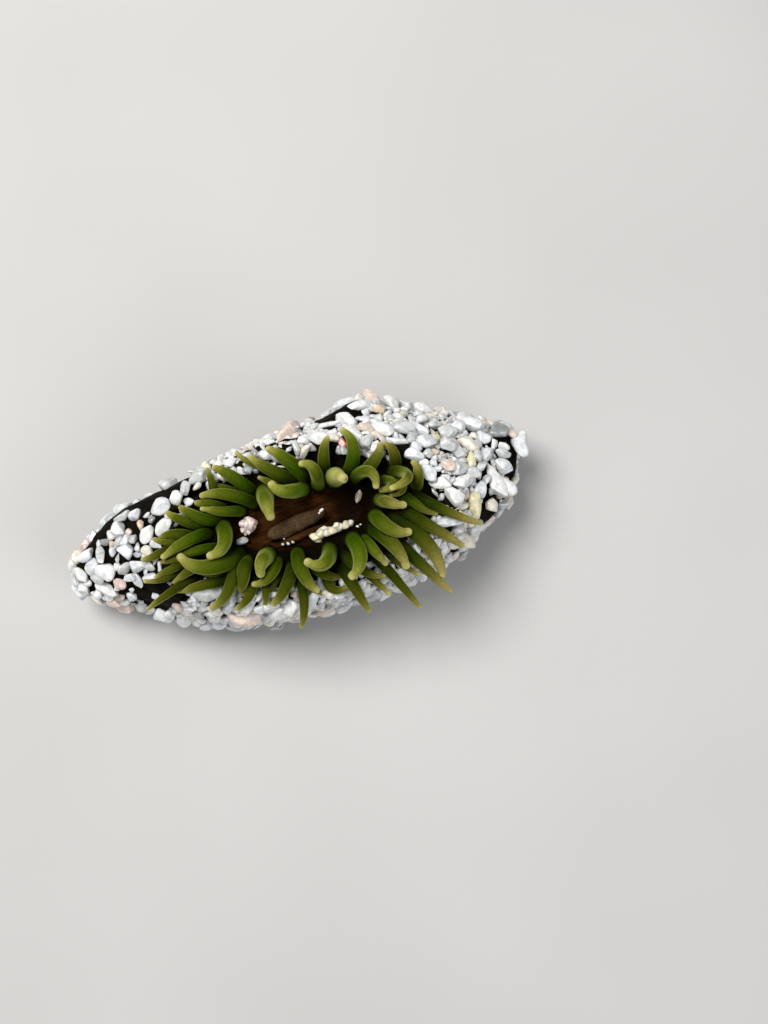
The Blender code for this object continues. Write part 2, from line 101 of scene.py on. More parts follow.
# The crown: centre, turn, and its rings from the oral disc outward (half length, half width, height).
CROWN = (0.8, -1.9)
CROWN_TURN = -5.0
RINGS = ((9.0, 3.7, 17.3), (11.2, 4.9, 17.2), (13.4, 6.1, 16.8), (15.5, 7.2, 16.3))
INNER_EDGE, OUTER_EDGE = -0.55, 3.45   # ring levels of the margin's two edges
INNER_HEIGHT, OUTER_HEIGHT = 16.9, 15.8

DISC_TOP = 16.2                # the oral disc lies a little below the margin
LIP_TURN = 5.0
LIPS = (                       # centre x, y, half length, half width, height above the disc
    ("mouth_lip_upper", 0.0, -2.05, 3.7, 0.9, 1.1),
    ("mouth_lip_lower", 0.4, -3.6, 3.1, 0.45, 0.7),
)

# Girth of a tentacle along its length, as a share of its greatest, and the least radius at its tip.
GIRTH = ((0.0, 0.90), (0.2, 1.0), (0.45, 0.96), (0.7, 0.78), (0.88, 0.58), (1.0, 0.50))
LEAST = 0.27
JOINTS = 10                    # stations along a tentacle while it settles
TUBE = 6                       # stations along the finished solid

# The tufts: start bearing on the margin, then each tentacle's ring, bearing, heading, reach, bow, tip height, girth.
# Bearings and headings are in degrees, anticlockwise from +X. Bow is the sideways lean of its middle, to the left.
TUFTS = (
    (-4.0, (
        (0.25, 9, 325, 3.0, -0.25, 20.0, 1.4),
        (1.5, 5, 315, 4.5, -0.25, 16.0, 1.1),
        (2, 5, 320, 9.0, -0.5, 13.5, 1.1),
        (2.25, 8.5, 76, 3.0, -0.45, 18.0, 1.3),
    )),
    (21.5, (
        (2, 29, 240, 2.5, 1.2, 18.0, 1.1),
        (1.25, 31, 255, 1.5, 1.35, 19.0, 1.2),
        (2.1, 35, 262, 2.4, 2.0, 21.0, 1.3),
        (2.6, 35.5, 97, 3.0, -0.6, 17.0, 1.3),
    )),
    (42.0, (
        (1.5, 47.5, 42, 3.7, -0.4, 18.0, 1.4),
        (0.75, 50, 320, 3.0, 1.25, 20.5, 1.3),
        (1.25, 57, 80, 5.0, -1.0, 18.0, 1.4),
        (0.75, 64, 315, 1.5, 0.0, 24.0, 2.0),
        (1.25, 71, 70, 4.0, 0.25, 18.0, 1.3),
        (0, 73, 110, 3.0, -0.75, 20.0, 1.4),
    )),
    (78.0, (
        (1, 83, 125, 5.5, -0.25, 17.5, 1.5),
        (0, 84.5, 160, 3.5, 0.75, 20.5, 1.6),
        (1, 91, 135, 5.5, 0.25, 17.5, 1.4),
        (1.75, 88, 145, 7.5, 0.75, 16.5, 0.9),
        (0.25, 100, 135, 3.0, 0.0, 17.5, 0.9),
    )),
    (104.0, (
        (0.75, 110, 270, 3.5, 0.0, 21.0, 1.8),
        (1, 117, 130, 5.5, -0.25, 16.5, 1.4),
        (1.5, 123, 145, 3.5, 0.25, 17.0, 1.2),
        (0, 125, 155, 6.0, -0.5, 17.5, 1.3),
    )),
    (131.0, (
        (0, 138, 170, 5.0, 0.25, 18.0, 1.4),
        (2, 135, 90, 4.0, -0.25, 15.5, 0.9),
        (1, 141, 150, 3.5, 0.0, 16.0, 0.9),
    )),
    (146.0, (
        (0.75, 152, 145, 5.0, 0.25, 16.0, 1.2),
        (0.5, 160, 240, 4.0, 1.25, 20.5, 1.6),
        (1.25, 161, 145, 5.0, 0.25, 16.0, 1.2),
        (1, 170, 195, 6.0, 0.0, 17.0, 1.5),
        (1.75, 176, 165, 4.5, -0.5, 15.0, 1.3),
        (1.75, 182, 155, 5.0, 0.25, 14.5, 0.9),
        (2.75, 179, 185, 4.5, 0.25, 13.5, 1.1),
    )),
    (187.5, (
        (0.75, 195, 170, 5.5, -0.25, 17.0, 1.1),
        (2.5, 194, 195, 4.5, 0.25, 13.0, 0.9),
        (3, 198, 185, 5.0, 0.5, 12.5, 0.8),
        (2.25, 199, 165, 4.5, 0.0, 13.0, 0.8),
    )),
    (205.0, (
        (0.25, 215, 165, 7.0, 1.5, 18.5, 1.7),
        (0.75, 219, 225, 6.5, 1.0, 15.0, 1.3),
        (1.75, 211, 180, 5.5, -0.25, 15.0, 1.1),
        (1.75, 221, 150, 4.5, 0.25, 15.5, 1.1),
        (2.25, 228, 175, 7.0, 0.25, 15.0, 1.2),
        (3, 212, 195, 7.5, 0.0, 12.0, 0.9),
        (0.75, 226, 255, 4.0, -0.5, 17.0, 1.5),
    )),
    (231.5, (
        (0, 239, 235, 2.5, -0.25, 20.0, 1.7),
        (2.25, 239, 225, 4.0, 0.5, 14.0, 1.1),
        (0.5, 248, 210, 4.0, 0.75, 18.0, 1.2),
        (2.5, 247, 250, 3.0, 0.25, 14.5, 0.9),
        (1.75, 252, 215, 3.0, 0.25, 15.0, 0.9),
    )),
    (255.0, (
        (1.25, 259, 225, 5.0, 0.5, 16.0, 1.4),
        (0, 262, 280, 5.0, -0.5, 18.5, 1.5),
        (2.25, 263, 255, 6.0, 0.5, 13.5, 1.1),
        (1.75, 265.5, 290, 3.5, -0.5, 15.5, 0.9),
        (1.25, 271, 325, 3.5, -0.75, 17.0, 1.2),
        (2.5, 276.5, 310, 3.0, -1.25, 15.5, 1.1),
    )),
    (279.5, (
        (2, 284, 285, 6.5, 0.0, 15.0, 1.3),
        (0.25, 285, 200, 3.0, 1.25, 21.0, 1.6),
        (1.25, 290, 315, 5.5, -0.75, 17.0, 1.1),
        (2.75, 291, 300, 5.0, 0.0, 14.5, 0.9),
    )),
    (296.7, (
        (0.25, 303, 255, 4.5, 1.0, 20.0, 1.7),
        (0.75, 308, 295, 4.0, 0.0, 18.5, 1.2),
        (3, 306, 310, 4.5, -0.25, 14.0, 0.9),
        (2.25, 301, 295, 8.5, 0.0, 14.5, 1.1),
    )),
    (312.5, (
        (2, 318.5, 300, 9.5, -0.25, 13.5, 1.3),
        (0.5, 321, 295, 6.0, 0.5, 19.0, 1.6),
        (0, 341, 315, 4.5, -0.75, 19.0, 1.6),
        (1, 338, 295, 9.0, 1.0, 16.0, 1.8),
        (1, 348, 315, 9.0, 0.0, 15.0, 1.3),
    )),
)
GRIT_THICK, GRIT_LUMP = 1.25, 1.0


# ---------------------------------------------------------------- the oval body
def station_at(height):
    rows = np.array(STATIONS)
    return [height] + [float(np.interp(height, rows[:, 0], rows[:, i])) for i in range(1, 6)]


def oval_point(a, b, cx, cy, turn, bearing):
    q, t = math.radians(bearing), math.radians(turn)
    x, y = a * math.cos(q), b * math.sin(q)
    return cx + x * math.cos(t) - y * math.sin(t), cy + x * math.sin(t) + y * math.cos(t)


def swell(height, bearing):
    """How far the wall stands out beyond its plain oval."""
    total = 0.0
    for where, reach, level, tall, far in SWELLS:
        off = (bearing - where + 180.0) % 360.0 - 180.0
        total += far * math.exp(-((off / reach) ** 2) - ((height - level) / tall) ** 2)
    return total


def wall_oval(height, bearing, grow=0.0):
    """A point of the column's wall, grown outward by grow."""
    _, a, b, cx, cy, turn = station_at(height)
    grow += swell(height, bearing)
    low, high = PINCH_FADE
    fade = min(1.0, max(0.0, (high - height) / (high - low)))
    for where, reach, share in PINCHES:
        b *= 1 - share * fade * math.exp(-(((bearing - where) / reach) ** 2))
    return oval_point(a + grow, b + grow, cx, cy, turn, bearing)


def oval(height, grow=0.0, sides=SIDES):
    """One level section of the column, grown outward by grow."""
    return [wall_oval(height, 360.0 * i / sides, grow) + (height,) for i in range(sides)]


def ring_at(ring):
    """Half length, half width and height of the crown's surface at a ring level."""
    if ring <= 0:
        f = ring / INNER_EDGE
        return [RINGS[0][i] + ring * (RINGS[1][i] - RINGS[0][i]) for i in (0, 1)] + [
            RINGS[0][2] + f * (INNER_HEIGHT - RINGS[0][2])]
    k = min(int(ring), 2)
    f = ring - k
    a, b, z = [RINGS[k][i] * (1 - f) + RINGS[k + 1][i] * f for i in range(3)]
    if ring > 3:
        z = RINGS[3][2] + (ring - 3) / (OUTER_EDGE - 3) * (OUTER_HEIGHT - RINGS[3][2])
    return [a, b, z]


def ring_point(ring, bearing):
    a, b, z = ring_at(ring)
    return oval_point(a, b, CROWN[0], CROWN[1], CROWN_TURN, bearing) + (z,)


# ---------------------------------------------------------------- the tentacles' lines
def evenly(points, count):
    run = np.concatenate([[0.0], np.cumsum(np.linalg.norm(np.diff(points, axis=0), axis=1))])
    s = np.linspace(0.0, run[-1], count)
    return np.stack([np.interp(s, run, points[:, i]) for i in range(3)], 1)


def centreline(row, count):
    """From the margin up, over and out to the tip, as one cubic."""
    ring, bearing, heading, reach, bow, tip_z, _ = row
    a = np.array(ring_point(ring, bearing))
    h = math.radians(heading)
    along = np.array([math.cos(h), math.sin(h), 0.0])
    side = np.array([-along[1], along[0], 0.0])
    tip = a + along * reach
    tip[2] = tip_z
    rise = 3.4 - 0.75 * ring
    p0 = a - [0.0, 0.0, 0.8]
    p1 = a + [0.0, 0.0, rise] + along * min(reach * 0.12, 0.5) + side * bow * 0.8
    p2 = tip - along * reach * 0.30 + side * bow * 1.87
    p2[2] = max(tip_z + 0.9, a[2] + 0.45 * rise)
    t = np.linspace(0.0, 1.0, 40)[:, None]
    u = 1.0 - t
    return evenly(u**3 * p0 + 3 * t * u**2 * p1 + 3 * t * t * u * p2 + t**3 * tip, count)


def girths(girth, count):
    f = np.interp(np.linspace(0, 1, count), [g[0] for g in GIRTH], [g[1] for g in GIRTH])
    return np.maximum(0.5 * girth * f, LEAST)


def surface_height(x, y, grow):
    """Height of the body's upper surface over each point, with the column grown by grow, and -99 beyond it."""
    levels = [(z, a + grow, b + grow, cx, cy, turn) for z, a, b, cx, cy, turn in STATIONS[6:]]
    for ring in (3.45, 3, 2, 1, 0):
        a, b, z = ring_at(ring)
        levels.append((z, a, b, CROWN[0], CROWN[1], CROWN_TURN))
    outside = []
    for _, a, b, cx, cy, turn in levels:
        t = math.radians(turn)
        u = (x - cx) * math.cos(t) + (y - cy) * math.sin(t)
        v = -(x - cx) * math.sin(t) + (y - cy) * math.cos(t)
        outside.append((u / a) ** 2 + (v / b) ** 2)
    height = np.full(x.shape, -99.0)
    for j in range(len(levels) - 1):
        here = (outside[j] <= 1) & (outside[j + 1] > 1)
        f = (1 - outside[j][here]) / np.maximum(outside[j + 1][here] - outside[j][here], 1e-9)
        height[here] = levels[j][0] + f * (levels[j + 1][0] - levels[j][0])
    height[outside[-1] <= 1] = levels[-1][0]
    return height


def settle(lines, radii, tuft, rounds=500):
    """Pushes the tentacles apart until none passes through another, so that they lie on each other as in life."""
    count, n = len(lines), lines[0].shape[0]
    start = np.array(lines)
    now = start.copy()
    wide = np.array(radii)
    r = wide.reshape(-1)
    free = np.clip((np.arange(n) - 0.5) / 3.0, 0.0, 1.0)      # the root is held
    who, step_of = np.repeat(np.arange(count), n), np.tile(np.arange(n), count)
    loose = np.tile(free, count)
    group = np.asarray(tuft)[who]
    first, second = np.triu_indices(count * n, 1)
    same = group[first] == group[second]
    keep = (who[first] != who[second]) & (loose[first] + loose[second] > 0)
    keep &= ~(same & (step_of[first] <= 2) & (step_of[second] <= 2))
    first, second = first[keep], second[keep]
    need_all = r[first] + r[second] + np.where(same[keep], 0.04, GAP + 0.06)
    for turn in range(rounds):
        flat_list = now.reshape(-1, 3)
        if turn % 20 == 0:
            d = flat_list[first] - flat_list[second]
            near = (d * d).sum(1) < (need_all + 1.6) ** 2
            a, b, need = first[near], second[near], need_all[near]
            total = loose[a] + loose[b] + 1e-9
            share_a, share_b = loose[a] / total, loose[b] / total
        d = flat_list[a] - flat_list[b]
        dist = np.sqrt((d * d).sum(1)) + 1e-9
        over = np.maximum(need - dist, 0.0)
        flat = np.sqrt(d[:, 0] ** 2 + d[:, 1] ** 2)
        way = d / dist[:, None]
        # where one lies over the other, they part upward and downward
        way[:, 2] += np.where(flat < 0.75 * need, np.where(d[:, 2] >= 0, 0.9, -0.9), 0.0)
        way /= np.sqrt((way * way).sum(1))[:, None]
        force = way * (over * 0.45)[:, None]
        push = np.zeros_like(flat_list)
        for axis in range(3):
            push[:, axis] = np.bincount(a, force[:, axis] * share_a, len(r)) - np.bincount(
                b, force[:, axis] * share_b, len(r))
        size = np.sqrt((push * push).sum(1))
        push *= np.minimum(1.0, 0.35 / np.maximum(size, 1e-9))[:, None]
        now = (flat_list + push * loose[:, None]).reshape(count, n, 3)
        hold = 1.0 if turn < rounds * 0.8 else 0.35
        for _ in range(2):                                     # each keeps a smooth line
            moved = now - start
            even = moved.copy()
            even[:, 1:-1] = (1 - 0.5 * hold) * moved[:, 1:-1] + 0.25 * hold * (moved[:, :-2] + moved[:, 2:])
            even[:, -1] = (1 - 0.3 * hold) * moved[:, -1] + 0.3 * hold * moved[:, -2]
            now = start + even
        now[..., :2] += 0.05 * hold * (start[..., :2] - now[..., :2])
        now[..., 2] += 0.008 * hold * (start[..., 2] - now[..., 2])
        low = surface_height(now[..., 0], now[..., 1], GRIT_THICK + GRIT_LUMP + GAP) + wide + 0.35
        now[:, 4:, 2] = np.maximum(now[:, 4:, 2], low[:, 4:])
    return now


# ---------------------------------------------------------------- numbers and noise
def smooth(x, low, high):
    t = np.clip((np.asarray(x, float) - low) / (high - low), 0.0, 1.0)
    return t * t * (3 - 2 * t)


def lattice(i, j, k, seed):
    h = (i * 374761393 + j * 668265263 + k * 1440662683 + seed * 974634777) & 0xFFFFFFFF
    h = ((h ^ (h >> 13)) * 1274126177) & 0xFFFFFFFF
    h = ((h ^ (h >> 16)) * 2246822519) & 0xFFFFFFFF
    return ((h ^ (h >> 15)) & 0xFFFFFF) / 8388607.5 - 1.0


def noise(p, size, seed=0):
    """Smooth noise from -1 to 1 at points p, with features about this size."""
    q = np.asarray(p, float) / size
    c = np.floor(q).astype(np.int64)
    f = q - c
    f = f * f * f * (f * (f * 6 - 15) + 10)
    total = 0.0
    for di in (0, 1):
        wi = f[..., 0] if di else 1 - f[..., 0]
        for dj in (0, 1):
            wj = f[..., 1] if dj else 1 - f[..., 1]
            for dk in (0, 1):
                wk = f[..., 2] if dk else 1 - f[..., 2]
                total = total + wi * wj * wk * lattice(c[..., 0] + di, c[..., 1] + dj, c[..., 2] + dk, seed)
    return total


def gentle(x, y, at):
    """A smooth curve through (x, y) that doesn't overshoot, read at these places."""
    x, y = np.asarray(x, float), np.asarray(y, float)
    h = np.diff(x)
    slope = np.diff(y) / h
    d = np.zeros(len(x))
    same = slope[:-1] * slope[1:] > 0
    mean = (slope[:-1] * slope[1:]) / np.where(same, 0.5 * (slope[:-1] + slope[1:]), 1.0)
    d[1:-1] = np.where(same, mean, 0.0)
    d[0], d[-1] = slope[0], slope[-1]
    k = np.clip(np.searchsorted(x, at) - 1, 0, len(h) - 1)
    t = (at - x[k]) / h[k]
    return ((1 + 2 * t) * (1 - t) ** 2 * y[k] + t * (1 - t) ** 2 * h[k] * d[k]
            + t * t * (3 - 2 * t) * y[k + 1] + t * t * (t - 1) * h[k] * d[k + 1])


def through(points, count):
    """A smooth line through the points, sampled evenly."""
    p = np.concatenate([[2 * points[0] - points[1]], points, [2 * points[-1] - points[-2]]])
    fine = []
    for k in range(1, len(p) - 2):
        t = np.linspace(0, 1, 12, endpoint=False)[:, None]
        a, b, c, d = p[k - 1], p[k], p[k + 1], p[k + 2]
        fine.append(0.5 * (2 * b + (c - a) * t + (2 * a - 5 * b + 4 * c - d) * t**2 + (3 * b - a - 3 * c + d) * t**3))
    fine.append(p[-2][None])
    return evenly(np.concatenate(fine), count)


# ---------------------------------------------------------------- meshes
def mesh_from(name, points, quads, values=None, uv=None):
    """A mesh from points in millimetres, faces (-1 ends a triangle), named point values and a map per face corner."""
    quads = np.asarray(quads, np.int64)
    three = quads[:, 3] < 0
    sizes = np.where(three, 3, 4)
    loops = quads.reshape(-1)[(np.arange(4)[None] < sizes[:, None]).reshape(-1)]
    mesh = bpy.data.meshes.new(name)
    mesh.vertices.add(len(points))
    mesh.vertices.foreach_set("co", (np.asarray(points, float) * MM).astype(np.float32).reshape(-1))
    mesh.loops.add(len(loops))
    mesh.loops.foreach_set("vertex_index", loops.astype(np.int32))
    mesh.polygons.add(len(quads))
    starts = np.concatenate([[0], np.cumsum(sizes)[:-1]])
    mesh.polygons.foreach_set("loop_start", starts.astype(np.int32))
    mesh.update(calc_edges=True)
    for key, value in (values or {}).items():
        if np.ndim(value) == 2:
            layer = mesh.attributes.new(key, "FLOAT_COLOR", "POINT")
            layer.data.foreach_set("color", np.concatenate([value, np.ones((len(points), 1))], 1).astype(np.float32).reshape(-1))
            continue
        layer = mesh.attributes.new(key, "FLOAT", "POINT")
        layer.data.foreach_set("value", np.broadcast_to(np.asarray(value, np.float32), (len(points),)).copy())
    if uv is not None:
        layer = mesh.uv_layers.new(name="OFBake")
        flat = np.asarray(uv, np.float32)[(np.arange(4)[None] < sizes[:, None])]
        layer.data.foreach_set("uv", flat.reshape(-1))
    mesh.shade_smooth()
    mesh.validate()
    return mesh


def grid_faces(rows, cols, wrap=True):
    """Quads of a grid of rows x cols points whose columns close round, and each corner's (column, row) unwrapped."""
    c = cols if wrap else cols - 1
    j, i = np.meshgrid(np.arange(rows - 1), np.arange(c), indexing="ij")
    n = (i + 1) % cols
    quads = np.stack([j * cols + i, j * cols + n, (j + 1) * cols + n, (j + 1) * cols + i], -1).reshape(-1, 4)
    u = np.stack([i, i + 1, i + 1, i], -1).reshape(-1, 4)
    v = np.stack([j, j, j + 1, j + 1], -1).reshape(-1, 4)
    return quads, u, v


def new_object(name, mesh, home=None):
    obj = bpy.data.objects.new(name, mesh)
    (home or bpy.context.scene.collection).objects.link(obj)
    return obj


# ---------------------------------------------------------------- the body
ROUND = 640                    # points round the body
FOOT, WALL, RIM, CROWN_ZONE, DISC, MOUTH = range(6)
LEVELS = (                     # zone, height, half length, half width, centre x, centre y, turn, step to the next
    (FOOT, 0.0, 0.5, 0.2, 0.0, -0.5, 0, 2.5), (FOOT, 0.0, 8.0, 3.2, 0.0, -0.5, 0, 2.5),
    (FOOT, 0.0, 16.0, 6.3, 0.0, -0.5, 0, 2.0), (FOOT, 0.0, 22.0, 8.6, 0.0, -0.5, 0, 0.7),
    (FOOT, 0.0, 24.5, 9.6, 0.0, -0.5, 0, 0.22), (FOOT, 0.12, 25.05, 10.1, 0.0, -0.5, 0, 0.2),
    (FOOT, 0.45, 25.25, 10.3, 0.0, -0.5, 0, 0.2), (FOOT, 0.8, 25.0, 10.05, 0.0, -0.5, 0, 0.25),
    (WALL, 1.3, 24.4, 9.45, 0.0, -0.5, 0, 0.3), (WALL, 2.1, 24.2, 9.25, 0.0, -0.5, 0, 0.3),
    (WALL, 3.3, 26.2, 10.0, 0.0, -0.6, 0, 0.3), (WALL, 5.0, 27.8, 10.8, 0.0, -0.7, 0, 0.3),
    (WALL, 7.0, 28.0, 11.1, 0.1, -0.8, -1, 0.3), (WALL, 9.5, 26.3, 10.9, 0.2, -1.0, -2, 0.3),
    (WALL, 12.0, 23.4, 10.5, 0.4, -1.3, -3, 0.3), (WALL, 14.0, 20.8, 10.1, 0.6, -1.6, -4, 0.3),
    (WALL, 15.4, 19.0, 9.6, 0.7, -1.8, -5, 0.25), (RIM, 16.15, 18.0, 9.0, 0.8, -1.9, -5, 0.16),
    (RIM, 16.4, 17.55, 8.6, 0.8, -1.9, -5, 0.16), (RIM, 16.25, 17.1, 8.25, 0.8, -1.9, -5, 0.16),
    (RIM, 15.85, 16.8, 8.0, 0.8, -1.9, -5, 0.16), (RIM, 15.85, 16.45, 7.7, 0.8, -1.9, -5, 0.2),
    (CROWN_ZONE, 16.3, 15.5, 7.2, 0.8, -1.9, -5, 0.26), (CROWN_ZONE, 16.8, 13.4, 6.1, 0.8, -1.9, -5, 0.26),
    (CROWN_ZONE, 17.2, 11.2, 4.9, 0.8, -1.9, -5, 0.26), (CROWN_ZONE, 17.3, 9.0, 3.7, 0.8, -1.9, -5, 0.18),
    (DISC, 16.9, 7.85, 3.15, 0.8, -1.9, -5, 0.15), (DISC, 16.35, 7.2, 2.75, 0.8, -1.95, -5, 0.13),
    (DISC, 16.2, 6.2, 2.15, 0.7, -2.15, -3, 0.12), (DISC, 16.15, 5.0, 1.4, 0.5, -2.6, 1, 0.12),
    (DISC, 16.0, 4.2, 0.75, 0.3, -2.95, 5, 0.12), (MOUTH, 15.5, 3.6, 0.34, 0.25, -3.0, 5, 0.14),
    (MOUTH, 15.0, 3.2, 0.2, 0.25, -3.0, 5, 0.14), (MOUTH, 14.8, 2.8, 0.12, 0.25, -3.0, 5, 0.2),
)


def even_bearings(count):
    """Bearings that lie evenly along an oval of the body's shape."""
    q = np.linspace(0, 2 * math.pi, 4001)
    run = np.concatenate([[0], np.cumsum(np.hypot(24 * np.diff(np.cos(q)), 10 * np.diff(np.sin(q))))])
    return np.interp(np.arange(count) / count * run[-1], run, q)


def body_levels():
    rows = np.array([r[1:7] for r in LEVELS], float)
    zone = np.array([r[0] for r in LEVELS], float)
    step = np.array([r[7] for r in LEVELS])
    gap = np.sqrt(np.diff(rows[:, 0]) ** 2 + (0.5 * (np.diff(rows[:, 1]) + np.diff(rows[:, 2]))) ** 2) + 1e-3
    run = np.concatenate([[0], np.cumsum(gap)])
    at = np.concatenate([np.linspace(run[k], run[k + 1], max(2, int(round(gap[k] / step[k])) + 1))[:-1]
                         for k in range(len(gap))] + [[run[-1]]])
    made = np.stack([gentle(run, rows[:, i], at) for i in range(6)], 1)
    return made, np.interp(at, run, zone), at


def drawn_in(height, bearing):
    """The share of the half width that is left where the wall is drawn in. Bearing in radians."""
    low, high = PINCH_FADE
    fade = np.clip((high - height) / (high - low), 0.0, 1.0)
    left = 1.0
    for where, reach, share in PINCHES:
        off = (np.degrees(bearing) - where + 180) % 360 - 180
        left = left * (1 - share * fade * np.exp(-((off / reach) ** 2)))
    return left


def swollen(height, bearing):
    """How far the wall stands out beyond its plain ovals. Bearing in radians."""
    total = 0.0 * height * bearing
    for where, reach, level, tall, far in SWELLS:
        off = (np.degrees(bearing) - where + 180) % 360 - 180
        total = total + far * np.exp(-((off / reach) ** 2) - ((height - level) / tall) ** 2)
    return total


def body_surface(levels, bearings, zone):
    z, a, b, cx, cy, turn = [levels[:, i][:, None] for i in range(6)]
    q, t = bearings[None], np.radians(turn)
    wall = (zone[:, None] > 0.6) & (zone[:, None] < 2.5)
    b = b * np.where(zone[:, None] < 2.5, drawn_in(z, q), 1.0) + wall * swollen(z, q)
    a = a + wall * swollen(z, q)
    x, y = a * np.cos(q), b * np.sin(q)
    return np.stack([cx + x * np.cos(t) - y * np.sin(t), cy + x * np.sin(t) + y * np.cos(t), z + 0 * x], -1)


def outward(grid):
    """Unit normals of a grid whose columns close round."""
    across = np.roll(grid, -1, 1) - np.roll(grid, 1, 1)
    along = np.gradient(grid, axis=0)
    n = np.cross(across, along)
    return n / np.maximum(np.linalg.norm(n, axis=-1, keepdims=True), 1e-9)


def make_body():
    levels, zone, run = body_levels()
    bearings = even_bearings(ROUND)
    grid = body_surface(levels, bearings, zone)
    normal = outward(grid)
    z = grid[..., 2]
    height = zone[:, None] + 0 * z
    share = np.arange(ROUND)[None] / ROUND + 0 * z
    around = 118.0 * share                                     # millimetres round the body
    foot = smooth(height, 1.15, 0.6) * smooth(z, 0.02, 0.4)
    wall = smooth(height, 0.9, 1.2) * smooth(height, 2.2, 1.9)
    crown = smooth(height, 2.5, 3.0) * smooth(height, 4.3, 3.7)
    disc = smooth(height, 3.6, 4.1)

    # the animal isn't a true oval: it swells and draws in a little round its girth
    push = wall * (0.45 * noise(grid, 9.0, 1) + 0.18 * noise(grid, 3.2, 2))
    # warts in upright rows, which hold the grit
    rows, pitch = 54, 1.75
    u, s = share * rows, run[:, None] - 25.0
    lane = np.floor(u)
    v = s / pitch + 0.5 * (lane % 2) + 0.18 * noise(grid, 4.0, 3)
    wide = 1.0 * 118.0 / rows
    d2 = ((u - lane - 0.5) * wide) ** 2 + ((v - np.floor(v) - 0.5) * pitch) ** 2
    wart = np.exp(-((d2 / 0.42) ** 1.4)) * smooth(z, 2.2, 4.5) * wall
    push = push + 0.36 * wart * (0.8 + 0.4 * noise(grid, 2.0, 4))
    # furrows down the wall between the rows, and fine rings round it
    push = push - wall * 0.13 * np.exp(-(((u - np.round(u)) * wide) / 0.22) ** 2) * smooth(z, 16.0, 6.0)
    fold = np.stack([grid[..., 0] * 0.25, grid[..., 1] * 0.25, z * 1.0], -1)
    push = push + wall * 0.07 * noise(fold, 0.55, 5) + 0.03 * wall * noise(grid, 0.5, 6)
    # the foot's thin edge is scalloped and ribbed
    push = push + foot * (0.35 * noise(grid * [1, 1, 0.1], 2.6, 7) + 0.12 * noise(grid * [1, 1, 0.1], 0.9, 8))
    push = push - foot * 0.08 * (0.5 + 0.5 * np.cos(2 * math.pi * share * 108))
    # the rim is notched over each row of warts
    rim = smooth(height, 1.8, 2.0) * smooth(height, 2.75, 2.3)
    push = push + rim * (0.07 * np.cos(2 * math.pi * share * rows) + 0.16 * noise(grid, 1.9, 9))
    push = push + crown * (0.10 * noise(grid, 1.5, 10) + 0.05 * noise(grid, 0.6, 11))
    # folds of the disc run along the mouth, with fine spokes at its edge
    turn = math.radians(LIP_TURN)
    along = (grid[..., 0] - 0.3) * math.cos(turn) + (grid[..., 1] + 2.9) * math.sin(turn)
    off = -(grid[..., 0] - 0.3) * math.sin(turn) + (grid[..., 1] + 2.9) * math.cos(turn)
    sway = np.stack([along * 0.22, off, z * 0], -1)
    line = off / 0.42 + 0.9 * noise(sway, 0.9, 12) + 0.03 * along**2
    flat = disc * smooth(height, 5.0, 4.4)
    push = push + flat * (0.007 * np.sin(2 * math.pi * line) + 0.02 * noise(sway, 0.45, 13) + 0.05 * noise(sway, 1.6, 15))

    level_foot = (height < 0.3) | (z < 0.001)
    push = np.where(level_foot, 0.0, push)
    grid = grid + normal * push[..., None]
    grid[..., 2] = np.maximum(grid[..., 2], 0.0)

    rows_n = len(levels)
    quads, cu, cv = grid_faces(rows_n, ROUND)
    points = np.concatenate([grid.reshape(-1, 3), grid[0].mean(0)[None], grid[-1].mean(0)[None]])
    low, high = rows_n * ROUND, rows_n * ROUND + 1
    i = np.arange(ROUND)
    n = (i + 1) % ROUND
    bottom = np.stack([n, i, 0 * i + low, 0 * i - 1], -1)
    top = np.stack([(rows_n - 1) * ROUND + i, (rows_n - 1) * ROUND + n, 0 * i + high, 0 * i - 1], -1)
    # the map: round the body, then from the foot's middle to the mouth
    span = run / run[-1]
    corner = np.stack([0.004 + 0.992 * cu / ROUND, 0.004 + 0.66 * span[cv]], -1)
    foot_uv = np.stack([np.stack([n + (n < i) * ROUND, i, i + 0.5, i * 0.0], -1) / ROUND * 0.992 + 0.004,
                        0.004 + 0.0 * np.stack([i, i, i, i], -1)], -1)
    foot_uv[:, 2, 1] = 0.001
    top_uv = np.stack([np.stack([i, n + (n < i) * ROUND, i + 0.5, i * 0.0], -1) / ROUND * 0.992 + 0.004,
                       0.664 + 0.0 * np.stack([i, i, i, i], -1)], -1)
    top_uv[:, 2, 1] = 0.667
    end = np.zeros(2)
    # painted shade: the disc is painted darkest at its two ends and in front of the lower lip
    disc_painted_shade = smooth(np.abs(along + 0.4), 4.6, 7.6) * 0.85 + 0.85 * smooth(-off, 0.0, 1.3) + 0.8 * smooth(along, 2.5, 5.0)
    disc_painted_shade = np.clip(disc_painted_shade, 0, 1) * smooth(height, 2.6, 3.6)
    values = {
        "disc_painted_shade": np.concatenate([disc_painted_shade.reshape(-1), [0, 0]]), "rim_light_paint": np.zeros(len(points)),
        "arm": np.zeros(len(points)), "arm_t": np.zeros(len(points)), "tone": np.full(len(points), 0.5),
        "pale": np.zeros(len(points)), "lip": np.zeros(len(points)), "join": np.zeros(len(points)),
        "disc": np.concatenate([smooth(height, 3.3, 4.0).reshape(-1), [0, 1]]),
        "crown": np.concatenate([smooth(height, 1.9, 2.6).reshape(-1), [0, 1]]),
        "wart": np.concatenate([wart.reshape(-1), end]),
        "foot": np.concatenate([smooth(height, 1.0, 0.6).reshape(-1), [1, 0]]),
    }
    faces = np.concatenate([quads[:, :], bottom, top])
    mesh = mesh_from("body", points, faces, values, np.concatenate([corner, foot_uv, top_uv]))
    return new_object("anemone_skin", mesh)


